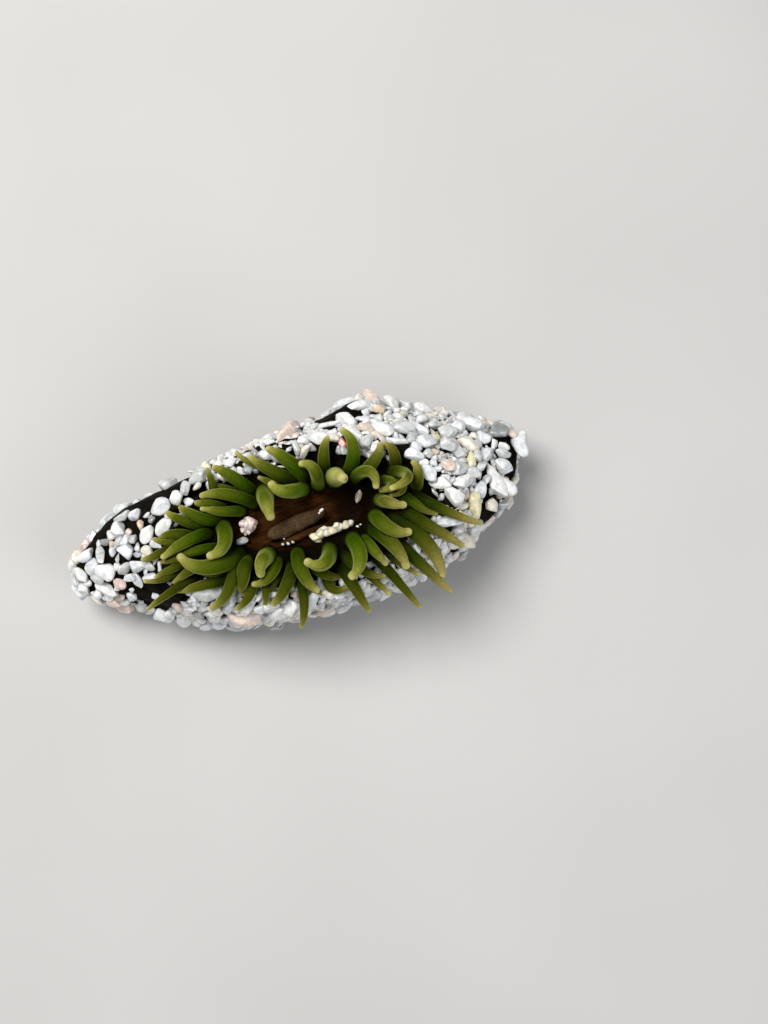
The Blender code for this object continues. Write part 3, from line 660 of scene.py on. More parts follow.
# ---------------------------------------------------------------- tubes: tentacles and lips
def frames(line):
    """Tangents and two steady cross directions along a line."""
    tangent = np.gradient(line, axis=0)
    tangent /= np.linalg.norm(tangent, axis=1, keepdims=True)
    side = np.zeros_like(line)
    seed = np.array([1.0, 0, 0]) if abs(tangent[0, 0]) < 0.8 else np.array([0, 1.0, 0])
    s = seed - tangent[0] * (seed @ tangent[0])
    for k in range(len(line)):
        s = s - tangent[k] * (s @ tangent[k])
        s /= np.linalg.norm(s)
        side[k] = s
    return tangent, side, np.cross(tangent, side)


def closed_tube(name, line, radius, around, values, cell, home):
    """A closed tube: radius is rows x around, and the line's first and last points close it."""
    tangent, side, other = frames(line)
    q = 2 * math.pi * np.arange(around) / around
    ring = (side[:, None] * np.cos(q)[None, :, None] + other[:, None] * np.sin(q)[None, :, None])
    grid = line[:, None] + ring * radius[..., None]
    rows = len(line)
    quads, cu, cv = grid_faces(rows, around)
    points = np.concatenate([grid.reshape(-1, 3), line[:1], line[-1:]])
    i = np.arange(around)
    n = (i + 1) % around
    bottom = np.stack([n, i, 0 * i + rows * around, 0 * i - 1], -1)
    top = np.stack([(rows - 1) * around + i, (rows - 1) * around + n, 0 * i + rows * around + 1, 0 * i - 1], -1)
    x0, y0, x1, y1 = cell
    run = np.linspace(0.03, 0.97, rows)
    uv = np.stack([x0 + (x1 - x0) * cu / around, y0 + (y1 - y0) * run[cv]], -1)
    wrap = lambda a, b: np.stack([a, b, (i + 0.5), 0.0 * i], -1)
    low = np.stack([x0 + (x1 - x0) * wrap(n + (n < i) * around, i) / around, y0 + 0.03 * (y1 - y0) + 0.0 * wrap(i, i)], -1)
    low[:, 2, 1] = y0
    high = np.stack([x0 + (x1 - x0) * wrap(i, n + (n < i) * around) / around, y0 + 0.97 * (y1 - y0) + 0.0 * wrap(i, i)], -1)
    high[:, 2, 1] = y1
    # painted rim light: 1 where the tube's surface stands upright, which paints the tentacles' flanks paler
    full = {"rim_light_paint": np.concatenate([smooth(np.abs(ring[..., 2]), 0.60, 0.30).reshape(-1), [0, 0]])}
    for key, value in values.items():
        value = np.broadcast_to(np.asarray(value, float), (rows,))
        full[key] = np.concatenate([np.repeat(value, around), value[:1], value[-1:]])
    mesh = mesh_from(name, points, np.concatenate([quads, bottom, top]), full, np.concatenate([uv, low, high]))
    obj = new_object(name, mesh, home)
    obj.hide_render = True
    return obj


# Tentacles that stand out, by their number in TUFTS: how pale their outer half is, and how bright their green.
PALE = {2: 0.95, 67: 0.5, 66: 0.6, 63: 0.85, 61: 0.4, 0: 0.4, 1: 0.35, 3: 0.25, 7: 0.25, 8: 0.2, 60: 0.2, 64: 0.25, 65: 0.2}
VIVID = {15: 0.95, 59: 0.85, 56: 0.6, 44: 0.5, 19: 0.55, 27: 0.6, 29: 0.65, 37: 0.55, 50: 0.5, 65: 0.7, 60: 0.7, 14: 0.55,
         20: 0.55, 33: 0.6, 26: 0.5, 1: 0.5, 22: 0.5, 10: 0.6, 9: 0.45, 13: 0.5}
KNOBBED = {56: 1.0, 62: 0.9, 54: 1.0, 53: 0.9, 58: 1.0, 64: 1.0, 0: 1.0, 1: 1.0, 59: 0.7, 60: 0.9, 65: 0.6, 44: 0.7, 63: 0.4,
           52: 0.8, 43: 0.5, 27: 0.6, 15: 0.6, 4: 0.6, 5: 0.6, 6: 0.5, 46: 0.5, 11: 0.5}


# girth along the length: the outer tentacles taper to a narrow end, and the short inner ones stay full and end blunt
STOUT = {23: 0.80, 25: 1.35, 29: 0.84}
SLENDER = ((0.0, 0.2, 0.45, 0.7, 0.88, 1.0), (1.04, 1.06, 0.97, 0.78, 0.58, 0.43))
BLUNT = ((0.0, 0.2, 0.45, 0.65, 0.8, 0.92, 1.0), (1.0, 1.06, 1.06, 0.96, 0.80, 0.62, 0.50))


def make_tentacles(home):
    rows = [row for _, tuft in TUFTS for row in tuft]
    tuft_of = [i for i, (_, tuft) in enumerate(TUFTS) for _ in tuft]
    lines = settle([centreline(row, JOINTS) for row in rows], [girths(row[6], JOINTS) for row in rows], tuft_of)
    made = []
    around = 24
    for k, (row, line) in enumerate(zip(rows, lines)):
        ring, bearing, heading, reach, bow, tip_z, girth = row
        girth = girth * STOUT.get(k, 1.0)
        rng = np.random.default_rng(900 + k)
        body_rows, cap_rows = 44, 9
        run = through(line, body_rows)
        length = np.linalg.norm(np.diff(run, axis=0), axis=1).sum()
        t = np.linspace(0, 1, body_rows)
        knobbed = KNOBBED.get(k, 0.5)
        blunt = float(smooth(ring, 1.6, 0.6)) * float(smooth(girth, 1.0, 1.35))
        share = (1 - blunt) * gentle(SLENDER[0], SLENDER[1], t) + blunt * gentle(BLUNT[0], BLUNT[1], t)
        r = np.maximum(0.5 * girth * share * (1.14 - 0.06 * blunt), LEAST * 0.9)
        d = t * length
        r = r * (1 + 0.25 * np.exp(-((d / 1.0) ** 2)))        # it swells into the margin that it grows from
        left = (1 - t) * length
        r = r * (1 - 0.09 * knobbed * np.exp(-(((left - 0.62) / 0.28) ** 2)) + 0.15 * knobbed * np.exp(-(((left - 0.10) / 0.22) ** 2)))
        # the blunt end, with its small pore
        tip = run[-1] - run[-2]
        tip /= np.linalg.norm(tip)
        a = np.linspace(0, 0.5 * math.pi, cap_rows + 1)[1:]
        end_r, end_d = r[-1] * np.cos(a), r[-1] * 0.85 * np.sin(a)
        dimple = np.exp(-((end_r / (0.30 * r[-1])) ** 2))
        end_d = end_d - 0.22 * r[-1] * dimple
        keep = end_r > 0.05 * r[-1]
        end_r, end_d = end_r[keep], end_d[keep]
        run = np.concatenate([run, run[-1] + tip * end_d[:, None]])
        r = np.concatenate([r, end_r])
        t_all = np.concatenate([t, np.ones(len(end_r))])
        q = 2 * math.pi * np.arange(around) / around
        wobble = 1 + 0.035 * np.cos(2 * q[None] + rng.uniform(0, 6)) * (1 - 0.6 * t_all[:, None])
        place = np.stack([np.cos(q)[None] * 1.2 + 0 * t_all[:, None], np.sin(q)[None] * 1.2 + 0 * t_all[:, None],
                          (t_all * length)[:, None] + 0 * q[None]], -1)
        wobble = wobble + 0.030 * noise(place, 0.9, 40 + k) + 0.012 * noise(place * [1, 1, 2.2], 0.5, 80 + k)
        radius = r[:, None] * np.where(t_all[:, None] < 1, wobble, 1.0)
        radius[body_rows:] = r[body_rows:, None] * wobble[body_rows - 1][None]
        tone = VIVID.get(k, 0.42 - 0.12 * ring + 0.08 * rng.uniform(-1, 1))
        pale = PALE.get(k, 0.04 + 0.08 * rng.uniform())
        height = np.concatenate([d, np.full(len(end_r), length)])
        end_mark = np.concatenate([smooth(d, length - 0.45, length) * 0.55, 0.55 + 0.45 * smooth(dimple[keep], 0.0, 0.25)])
        pore = np.concatenate([np.zeros(body_rows), smooth(dimple[keep], 0.35, 0.8)])
        values = {"arm": smooth(height, 0.7, 1.7), "arm_t": t_all, "tone": np.clip(tone, 0, 1), "pale": pale,
                  "lip": 0.0, "disc": 0.0, "crown": 1.0, "wart": end_mark, "foot": pore, "disc_painted_shade": 0.0,
                  "join": np.exp(-(((height - 0.9) / 0.5) ** 2))}
        col, line_n = k % 17, k // 17
        cell = (0.004 + col / 17 * 0.992, 0.675 + line_n * 0.081, 0.004 + (col + 0.9) / 17 * 0.992, 0.675 + line_n * 0.081 + 0.073)
        made.append(closed_tube(f"arm_{k:02d}", run, radius, around, values, cell, home))
    return made, lines


def make_lips(home):
    turn = math.radians(LIP_TURN)
    for n, (name, x, y, half_length, half_width, high) in enumerate(LIPS):
        rows, around = 90, 32
        u = np.sin(np.linspace(-0.5 * math.pi, 0.5 * math.pi, rows)) * 0.995
        r = (1 - np.abs(u) ** 3.2) ** 0.5
        lift = DISC_TOP + 0.25 * high + 0.02
        across = 0.10 * half_width * np.sin(u * 2.4 + n)
        line = np.stack([x + u * half_length * math.cos(turn) - across * math.sin(turn),
                         y + u * half_length * math.sin(turn) + across * math.cos(turn), lift + 0 * u], -1)
        q = 2 * math.pi * np.arange(around) / around
        place = np.stack([np.cos(q)[None] + 0 * u[:, None], np.sin(q)[None] + 0 * u[:, None],
                          (u * half_length)[:, None] + 0 * q[None]], -1)
        fold = 1 + 0.05 * noise(place * [1, 1, 0.7], 0.9, 30 + n) + 0.012 * noise(place * [0.6, 0.6, 1], 0.4, 33 + n)
        fold = fold * (1.06 - 0.14 * u[:, None]) if n == 0 else fold
        if n == 0:                                             # its far edge is drawn into soft lobes
            lobe = np.maximum(np.sin(2 * math.pi * (u * 2.1 + 0.15)), -0.3)[:, None] * smooth(np.sin(q - 0.6), 0.1, 0.9)[None]
            fold = fold * (1 + 0.14 * lobe)
        tangent, side, other = frames(line)
        # half width across, and its height above the disc
        up = side[:, 2][:, None] * np.cos(q)[None] + other[:, 2][:, None] * np.sin(q)[None]
        squash = np.sqrt((1 - up**2) * half_width**2 + up**2 * (0.78 * high) ** 2)
        radius = np.maximum(r[:, None], 0.03) * squash * fold
        values = {"arm": 0.0, "arm_t": 0.5 + 0.5 * u, "tone": 0.5, "pale": 0.0, "lip": 1.0 if n == 0 else 0.10, "disc": 1.0,
                  "crown": 1.0, "wart": 0.0, "foot": 0.0, "join": 0.0, "disc_painted_shade": 0.0}
        cell = (0.02 + 0.45 * n, 0.6685, 0.40 + 0.45 * n, 0.6735)
        closed_tube(name + "_form", line, radius, around, values, cell, home)


def make_skin():
    tools = bpy.data.collections.new("skin_forms")
    bpy.context.scene.collection.children.link(tools)
    body = make_body()
    print("body", len(body.data.polygons), round(time.time() - START, 1))
    make_tentacles(tools)
    make_lips(tools)
    print("arms", round(time.time() - START, 1))
    join = body.modifiers.new("join", "BOOLEAN")
    join.operation, join.solver = "UNION", "MANIFOLD"
    join.operand_type, join.collection = "COLLECTION", tools
    bpy.context.view_layer.update()
    graph = bpy.context.evaluated_depsgraph_get()
    mesh = bpy.data.meshes.new_from_object(body.evaluated_get(graph), preserve_all_data_layers=True, depsgraph=graph)
    mesh.name = "anemone_skin"
    body.modifiers.clear()
    body.data = mesh
    for obj in list(tools.objects):
        bpy.data.objects.remove(obj, do_unlink=True)
    bpy.data.collections.remove(tools)
    print("joined", len(mesh.polygons), round(time.time() - START, 1))
    # the crease where each tentacle leaves the margin is softened
    weight = np.empty(len(mesh.vertices), np.float32)
    mesh.attributes["join"].data.foreach_get("value", weight)
    group = body.vertex_groups.new(name="join")
    for level in (0.25, 0.5, 0.75, 1.0):
        chosen = np.nonzero((weight > level - 0.25) & (weight <= level) & (weight > 0.1))[0]
        group.add([int(c) for c in chosen], level, "REPLACE")
    soften = body.modifiers.new("soften", "SMOOTH")
    soften.factor, soften.iterations, soften.vertex_group = 0.5, 5, "join"
    graph = bpy.context.evaluated_depsgraph_get()
    done = bpy.data.meshes.new_from_object(body.evaluated_get(graph), preserve_all_data_layers=True, depsgraph=graph)
    body.modifiers.clear()
    body.data = done
    body.vertex_groups.clear()
    done.shade_smooth()
    return body


# ---------------------------------------------------------------- grit
def ball(level):
    shape = bmesh.new()
    bmesh.ops.create_icosphere(shape, subdivisions=level, radius=1.0)
    points = np.array([v.co[:] for v in shape.verts])
    faces = np.array([[v.index for v in f.verts] for f in shape.faces])
    shape.free()
    return points / np.linalg.norm(points, axis=1, keepdims=True), faces


BALLS = {}


def grain_form(rng, kind, level, wide):
    """A grain, 2 long: points, triangles and the ball's points. Quartz is blocky with worn corners, shell bits flat."""
    if level not in BALLS:
        BALLS[level] = ball(level)
    way, faces = BALLS[level]
    count = rng.integers(8, 13)
    n = rng.normal(size=(count, 3))
    n /= np.linalg.norm(n, axis=1, keepdims=True)
    h = rng.uniform(0.70, 1.0, count)
    p = rng.uniform(16, 42)
    reach = np.maximum(way @ n.T, 0.0) / h
    r = 1.0 / np.maximum((reach**p).sum(1) ** (1 / p), 0.8)
    points = way * r[:, None]
    if kind == "rod":
        points = np.sign(points) * np.abs(points) ** np.array([0.5, 0.8, 0.8])
    for axis in range(3):                                      # fills its length, width and thickness
        low, high = points[:, axis].min(), points[:, axis].max()
        points[:, axis] = (points[:, axis] - 0.5 * (low + high)) * 2 / (high - low)
    thick = {"plate": 0.32, "shard": 0.26, "rod": wide}.get(kind, min(wide, 0.82) * rng.uniform(0.8, 1.0))
    points = points * [1.0, wide, thick]
    if kind == "shard":                                        # one end narrows to a point
        points[:, 1:] *= (0.95 - 0.70 * points[:, :1])
    if kind in ("plate", "shard"):                             # a shell bit keeps the shell's curve
        points[:, 2] += rng.uniform(-0.2, 0.2) * points[:, 0] ** 2
    points = points * (1 + 0.022 * noise(points, 0.45, int(rng.integers(1 << 20)))[:, None]
                       + 0.009 * noise(points, 0.16, int(rng.integers(1 << 20)))[:, None])
    return points, faces, way


# The larger grains on the upper side, each kind in a row of its own: place x, y, length, width as a share of the
# length, and the heading of the long side in degrees.
GRAINS = (
    ("clear", "block", (
        (-25.7, 5.2, 1.6, 0.7, 68), (-24.9, -1, 1.5, 0.7, -17), (-28.9, 0, 1.8, 0.6, -47), (-19.9, 4.9, 2.2, 0.45, -23),
        (-19.2, 1.9, 1.2, 0.8, -27), (-18.8, 0.8, 1.1, 0.75, -77), (-21.3, 2.1, 1.8, 0.6, 23), (-23.9, 1.5, 2.1, 0.5, -77),
        (-21.3, -0.9, 1.8, 0.66, 33), (-17.9, -1.6, 1.8, 0.58, -35), (-13.7, 7.6, 2.4, 0.8, 43), (-11.3, 5.6, 1.7, 0.7, -77),
        (-9.4, 6.4, 2.5, 0.66, -2), (-14.6, -6.9, 1, 0.7, -17), (-13.6, -8.1, 1.4, 0.72, -17), (-3.6, 7.1, 1.8, 0.5, 13),
        (0.6, 10.4, 1.4, 0.6, -57), (-1, 6.8, 2.1, 0.62, -3), (0, 6.5, 1.4, 0.6, 63), (2.6, 6.5, 1.7, 0.5, -99),
        (7.8, 4.4, 1.1, 0.8, -77), (10.8, 4.7, 1.9, 0.66, 23), (15.3, 5, 2.8, 0.62, -9), (15.9, 3.6, 1.8, 0.78, 13),
        (19.3, 4.7, 1.7, 0.7, 11), (20.2, 3.1, 2.2, 0.8, 23), (17.2, 1.2, 1.3, 0.8, 43), (19.9, 1.5, 2.1, 0.8, -7),
        (20.7, 0.6, 2.2, 0.7, -42), (15.8, -9.8, 1.6, 0.75, 45), (26.2, -0.8, 1.9, 0.62, -35), (28.2, 2.4, 2.1, 0.85, -45),
        (25.3, 5.1, 1, 0.95, -17), (20.2, -1.4, 2, 0.7, 3), (21.6, -2.3, 1.9, 0.66, -37), (27.6, -3.5, 1.8, 0.66, -47),
        (23, -0.3, 1.6, 0.6, 53), (-5.8, -10.1, 2.1, 0.74, -37), (0.7, -9.6, 2, 0.66, -77), (5.5, -11.7, 2.4, 0.7, 23),
        (5.8, -13.2, 2.5, 0.8, 33), (-1.9, -9.7, 1.2, 0.7, 43), (-11.1, -8, 1.4, 0.6, 13),
    )),
    ("clear", "plate", (
        (-21.5, -5.4, 2, 0.58, 48), (-12.4, -6.7, 3, 0.68, -5), (16.7, -3.3, 1.2, 0.33, -65),
    )),
    ("cream", "block", (
        (-28.5, 3.7, 1.8, 0.85, 73), (-26.7, 4, 0.9, 0.8, 43), (-27.4, 3.4, 0.5, 1, -17), (-17.5, -0.1, 1.5, 0.78, -52),
        (-10, 5.6, 1.1, 0.6, 23), (-16, -7.8, 2.6, 0.5, -52), (-6.9, 7.2, 1.4, 0.5, -5), (-6.8, 6.1, 1.5, 0.62, -47),
        (3.2, 6.1, 2.6, 0.38, 63), (7, 6.2, 1.8, 0.55, -45), (23.1, -6.2, 2.2, 0.66, -39), (18.7, -9.1, 3, 0.78, -31),
        (16.9, -11.3, 2.4, 0.42, -25), (22.4, 1.2, 2.6, 0.56, -67), (27.3, -4.6, 1.6, 0.55, 28), (-9.4, -10.1, 1.7, 0.7, 13),
        (1.1, -10.8, 1.7, 0.6, -47), (1.5, -11.9, 1.5, 0.7, -17),
    )),
    ("cream", "plate", (
        (17.1, -9.7, 2.5, 0.32, -31),
    )),
    ("milk", "block", (
        (-25, 5.8, 0.5, 1, -17), (-25.8, 2, 2, 0.68, 8), (-25.2, 0.6, 2.2, 0.8, -37), (-21.8, -4, 1.3, 0.9, -17),
        (-18.7, -5.1, 1, 0.9, -17), (-20.8, 7.6, 2.3, 0.68, 11), (-18.7, 7, 1.4, 0.72, -82), (-14.6, 4.3, 2.1, 0.9, -17),
        (-18.3, 4.5, 1.6, 0.7, -7), (-20.4, 0.8, 2.1, 0.78, -42), (-19.4, -1.2, 2.3, 0.58, -7), (-20.9, -2.2, 1.5, 0.6, 3),
        (-20.1, -2.7, 1.8, 0.62, -79), (-8.4, 5.5, 2.4, 0.5, -75), (-14.4, -6, 1, 0.6, 43), (-12.8, -9.7, 2.3, 0.72, -72),
        (-5.4, 6.9, 1.5, 0.7, 15), (-1.4, 11.1, 1.4, 0.66, 25), (-0.3, 8.9, 2.3, 0.66, 45), (7.2, 10.6, 2.4, 0.6, 43),
        (10, 4.2, 1.3, 0.66, -47), (18, 5.8, 1.5, 0.7, 33), (17.4, 4.4, 2.3, 0.6, -77), (17.4, 2.5, 2.4, 0.7, -2),
        (15.7, 1.7, 2.1, 0.66, -21), (17.2, -0.7, 2.1, 0.72, -59), (21.9, -4.3, 2.1, 0.7, 51), (23.2, -3.4, 1.3, 0.85, -17),
        (20.4, -8.2, 2.1, 0.72, 18), (20.3, -9.7, 1.6, 0.7, 3), (22, -8.5, 1.4, 0.55, 28), (25.6, -2.2, 2.3, 0.68, -37),
        (24.1, -0.5, 2.6, 0.55, 9), (28.7, -0.1, 3.0, 0.74, -80), (29.6, 3.6, 0.8, 0.8, 43), (22.3, 3.8, 2.6, 0.6, 45),
        (23.8, 3.3, 2.8, 0.66, -25), (24.6, 1.5, 1.7, 0.86, -17), (23, -1.7, 1.6, 0.6, 23), (-8, -9.1, 2.9, 0.42, 53),
        (-6.8, -10.2, 1.6, 0.7, 11), (-2.6, -9, 1.1, 0.6, -97), (-1, -10.9, 2.6, 0.5, 58), (0.4, -13.7, 1.9, 0.66, 31),
        (2.4, -12.6, 2.6, 0.78, 13), (2.3, -14.3, 1.9, 0.46, 51), (9.1, -13.1, 3.1, 0.44, -63), (11.2, -13.1, 2.5, 0.56, -57),
    )),
    ("milk", "plate", (
        (-17.9, -3.1, 2.8, 0.46, -13), (10, 11.6, 3.3, 0.4, 3), (11.1, 8, 1.6, 0.32, -27), (17.3, -6.9, 3.5, 0.34, -13),
        (-10.2, -8.5, 3.2, 0.38, 43),
    )),
    ("peach", "block", (
        (1.9, 8.5, 3.4, 0.6, 67), (11.2, 6.4, 2, 0.6, -7), (19, -0.8, 1.7, 0.82, -47), (28.2, 1.4, 1.8, 0.55, -17),
        (-2.7, -10, 1.2, 0.7, -67), (-0.2, -12.3, 2.6, 0.74, 33), (-9.2, -10.2, 3.7, 0.76, -35),
    )),
    ("peach", "plate", (
        (13.5, 11.2, 3.1, 0.62, -88),
    )),
    ("pink", "block", (
        (-27.3, 4.8, 2.1, 0.68, 63), (-22.5, -2.3, 1.8, 0.65, -25),
    )),
    ("red", "plate", (
        (7.9, 5.6, 1.8, 0.42, -72),
    )),
    ("smoke", "block", (
        (-16.1, 3.4, 1.1, 0.8, 43), (-23, 2.8, 1.3, 0.6, -17), (-10.6, -5.4, 2.1, 0.7, 13), (-3.5, 5.5, 1.5, 0.8, 43),
        (3.2, 8.6, 1.1, 0.66, -77), (20.2, -4.1, 0.8, 0.7, 23), (23.4, -4.8, 0.9, 0.85, -17), (26.6, 1.8, 2.5, 0.82, 3),
    )),
    ("smoke", "plate", (
        (-10.4, -6.3, 1.2, 0.5, 23),
    )),
    ("tan", "block", (
        (-17.8, 3.2, 1.2, 0.7, -57), (13.3, 8.7, 1.6, 0.7, -17), (18, 1.2, 1.4, 0.66, 28),
    )),
    ("white", "block", (
        (-28.3, 1.8, 2, 0.85, 3), (-27.3, 0.2, 2.1, 0.55, -47), (-23.6, -0.6, 2.3, 0.85, -27), (-24.5, -2.2, 2.6, 0.55, -65),
        (-15.3, 2.3, 2.3, 0.62, 43), (-17, 1.7, 2.1, 0.66, 48), (-20.7, 3.6, 2.6, 0.64, -75), (-16.3, -4.3, 0.6, 0.8, -17),
        (-12.6, 4.8, 1.7, 0.86, -67), (-4.5, 5.7, 2, 0.58, -53), (-4.4, 8, 1.4, 0.75, 11), (-3.5, 10.1, 2.3, 0.68, -72),
        (-2.1, 9, 2.4, 0.56, -77), (3.7, 6.9, 1.7, 0.75, -5), (5.4, 6.5, 2.1, 0.72, 1), (0.2, 5.5, 1.8, 0.4, -15),
        (0.4, 4.4, 1.4, 0.5, -35), (9.3, 8, 2.6, 0.68, -69), (9.4, 6, 2.7, 0.48, -69), (11.6, 4, 1.5, 0.66, 43),
        (13, 5.4, 2.5, 0.72, -55), (14.3, 3.7, 2.1, 0.42, -22), (17.9, -2.3, 2.7, 0.48, -13), (20.1, -3, 2.8, 0.56, 5),
        (18.5, -4.4, 2.7, 0.66, -27), (19.1, -11.1, 1.3, 0.92, -17), (14.8, -8.9, 1.8, 0.6, 61),
        (14.7, -10.4, 1.8, 0.52, -75), (26.7, 0, 1.4, 0.6, -17), (23.7, 5.4, 2.3, 0.64, 33), (-5, -11.1, 2.4, 0.8, -2),
        (-3.4, -10.9, 2.4, 0.86, -37), (-1.9, -13.1, 1.6, 0.8, -17), (3.5, -11.7, 1.6, 0.6, -17), (5.1, -11, 1.5, 0.6, 28),
        (13.9, -10.6, 1.7, 0.45, -67), (2.3, -11.3, 1.4, 0.7, -17), (-6.8, -9.1, 1.4, 0.6, 43),
    )),
    ("white", "plate", (
        (7.9, 11.9, 1.6, 0.55, 51), (11.5, 9.9, 3, 0.4, 9), (13, -9.6, 1.9, 0.3, -57),
    )),
    ("white", "rod", (
        (6.5, 8.4, 3.5, 0.17, -10),
    )),
    ("white", "shard", (
        (24.2, -3.5, 4.4, 0.34, 95), (25.2, -4.1, 3.7, 0.34, 119),
    )),
    ("yellow", "block", (
        (18.7, 2.9, 1.1, 0.8, 13), (20.7, -5.8, 2.9, 0.52, -93), (22, -0.7, 2.2, 0.5, 65),
    )),
)
# Loose grains on the mouth disc: look, place x, y, z, length, width as a share of it, and heading.
LOOSE = (
    ("pink", -5.48, -0.70, 17.6, 2.15, 0.84, 53), ("pink", -5.90, -0.30, 17.9, 1.15, 0.8, 13), ("tan", -5.10, -0.32, 17.8, 1.0, 0.7, 60),
    ("pink", -5.05, -1.05, 17.7, 0.9, 0.85, 20), ("cream", -5.62, -1.32, 17.6, 0.95, 0.75, 90), ("peach", -6.22, -0.92, 17.5, 0.9, 0.8, 35),
    ("white", -5.62, -0.62, 18.25, 0.95, 0.6, 70), ("peach", -5.35, 0.14, 17.5, 0.85, 0.7, 15), ("pink", -6.05, -1.40, 17.3, 0.7, 0.8, 50),
    ("peach", -4.75, -0.60, 17.3, 0.7, 0.8, 80),
    ("clear", -6.72, -2.19, 17.2, 1.54, 0.6, -7),
    ("smoke", -7.47, -2.56, 17, 0.83, 0.6, -17),
    ("yellow", 1.70, -4.26, 17, 1.18, 0.8, -7),
    ("yellow", 2.45, -4.06, 17.2, 1.18, 0.85, 43),
    ("butter", 3.20, -4.04, 17.2, 1.18, 0.85, 3),
    ("yellow", 3.98, -4.10, 17.2, 1.06, 0.85, 23),
    ("butter", 4.69, -4.01, 17.2, 1.18, 0.85, -17),
    ("yellow", 5.51, -3.95, 17.2, 1.06, 0.8, 13),
    ("butter", 6.09, -3.87, 17.1, 0.83, 0.8, -17),
    ("butter", 1.90, -4.62, 16.9, 0.83, 0.8, -17),
    ("butter", 3.02, -3.64, 17.5, 0.71, 0.8, -17),
    ("yellow", 4.50, -3.66, 17.5, 0.71, 0.8, -17),
    ("white", 6.81, -4.52, 17, 0.47, 0.8, -17),
    ("white", 7.22, -4.40, 17, 0.30, 0.8, -17),
    ("white", 4.18, -5.45, 17, 0.53, 0.7, 13),
    ("white", -2.22, -3.98, 17, 0.36, 0.9, -17),
    ("white", -1.57, -4.06, 17, 0.47, 0.8, -17),
    ("white", -1.01, -4.05, 17, 0.41, 0.8, -17),
    ("white", -1.92, -3.39, 17, 0.24, 0.9, -17),
    ("tan", 7.98, -1.11, 17.2, 1.77, 0.42, 65),
    ("white", 3.33, -1.50, 18.2, 0.65, 0.6, 13),
    ("white", 2.95, -1.75, 18.2, 0.29, 0.8, -17),
)
# Bare flesh seen from above: place x, y, reach, and how bare it is.
BARE = ((-18.8, 5.5, 2.1, 0.98), (-16.3, 6.5, 1.5, 0.98), (-23.3, 4.7, 1.2, 0.98), (-22.7, 6.6, 1.0, 0.95),
        (-19.3, -4.3, 1.7, 0.9), (-16.7, -5.4, 1.4, 0.85), (-10.0, 4.8, 1.4, 0.95), (-13.3, 3.5, 1.0, 0.7),
        (5.6, 4.6, 1.4, 1), (3.9, 4.4, 1.2, 0.95), (7.6, 3.3, 0.9, 0.9), (10.4, 10.4, 1.1, 0.9), (7.8, 8.8, 0.5, 0.6),
        (14.2, 1.6, 1.3, 1), (13.7, 2.7, 1.0, 0.8), (15.9, -1.7, 1.0, 1), (15.2, -4.4, 1.4, 1), (16.5, -4.8, 1.1, 0.9),
        (26.1, 4.3, 1.5, 1), (28.0, 4.8, 1.8, 0.9), (28.0, -1.0, 1.6, 0.95), (26.5, -2.7, 1.0, 0.8),
        (23.8, -2.2, 0.7, 0.9), (23.1, -4.9, 1.1, 0.7), (24.1, -8.3, 1.5, 0.9), (22.2, -7.3, 1.0, 0.9),
        (17.6, -10.3, 1.5, 0.7), (16.3, -8.1, 0.8, 0.8), (-15.0, -3.8, 2.4, 0.7), (-3.1, -11.8, 0.7, 0.5),
        (-20.0, 7.3, 1.9, 0.98), (-22.1, 6.0, 1.4, 0.95), (-16.0, 8.2, 1.4, 0.95), (-13.0, 6.2, 1.5, 0.95),
        (-14.7, 5.1, 0.9, 0.9), (-11.1, 6.7, 1.1, 0.95), (-25.6, 3.3, 1.2, 0.95), (-27.0, 1.8, 0.9, 0.8),
        (-22.9, -1.3, 0.9, 0.8), (-20.1, -0.3, 0.8, 0.8), (-18.6, 2.3, 0.9, 0.8), (27.8, -1.8, 1.5, 0.95),
        (27.4, -4.0, 1.2, 0.95), (23.2, -5.5, 1.0, 0.95), (27.0, 0.6, 0.9, 0.9), (23.6, -3.2, 0.9, 0.9),
        (21.1, -11.4, 1.1, 0.9), (19.4, -9.8, 0.9, 0.8), (9.7, 10.6, 1.4, 0.95), (6.5, 9.7, 1.3, 0.95),
        (9.9, 9.0, 1.1, 0.9), (3.6, 9.3, 0.8, 0.9), (7.1, 8.3, 0.8, 0.8), (0.6, 8.6, 0.7, 0.8),
        (-11.3, -9.3, 1.0, 0.7), (-14.0, -9.5, 1.0, 0.6), (3.4, -14.0, 1.0, 0.6), (6.9, -14.0, 1.1, 0.6))
LOOKS = {                      # colour and its usual change of brightness from grain to grain
    "white": ((240, 239, 236), 0.03, "white"), "milk": ((226, 228, 229), 0.05, "white"),
    "cream": ((238, 231, 215), 0.04, "white"), "butter": ((244, 237, 210), 0.04, "white"),
    "peach": ((236, 216, 202), 0.05, "white"), "pink": ((226, 198, 190), 0.06, "white"),
    "yellow": ((236, 226, 188), 0.05, "white"), "tan": ((222, 202, 178), 0.06, "white"),
    "red": ((196, 112, 92), 0.06, "white"),
    "clear": ((220, 223, 222), 0.06, "clear"), "smoke": ((168, 172, 170), 0.10, "clear"),
}
COMMON = (("white", 0.34), ("milk", 0.28), ("clear", 0.16), ("cream", 0.09), ("smoke", 0.04), ("peach", 0.04),
          ("tan", 0.02), ("yellow", 0.02), ("pink", 0.01))


def ground():
    """Points all over the wall, rim and margin, with their normals and the area that each stands for."""
    levels, zone, run = body_levels()
    keep = (zone > 0.95) & (zone < 3.55)
    grid = body_surface(levels[keep], even_bearings(720), zone[keep])
    normal = outward(grid)
    wide = np.linalg.norm(np.roll(grid, -1, 1) - grid, axis=-1)
    tall = np.linalg.norm(np.gradient(grid, axis=0), axis=-1)
    level = zone[keep][:, None] + 0 * wide
    return grid.reshape(-1, 3), normal.reshape(-1, 3), (wide * tall).reshape(-1), level.reshape(-1)


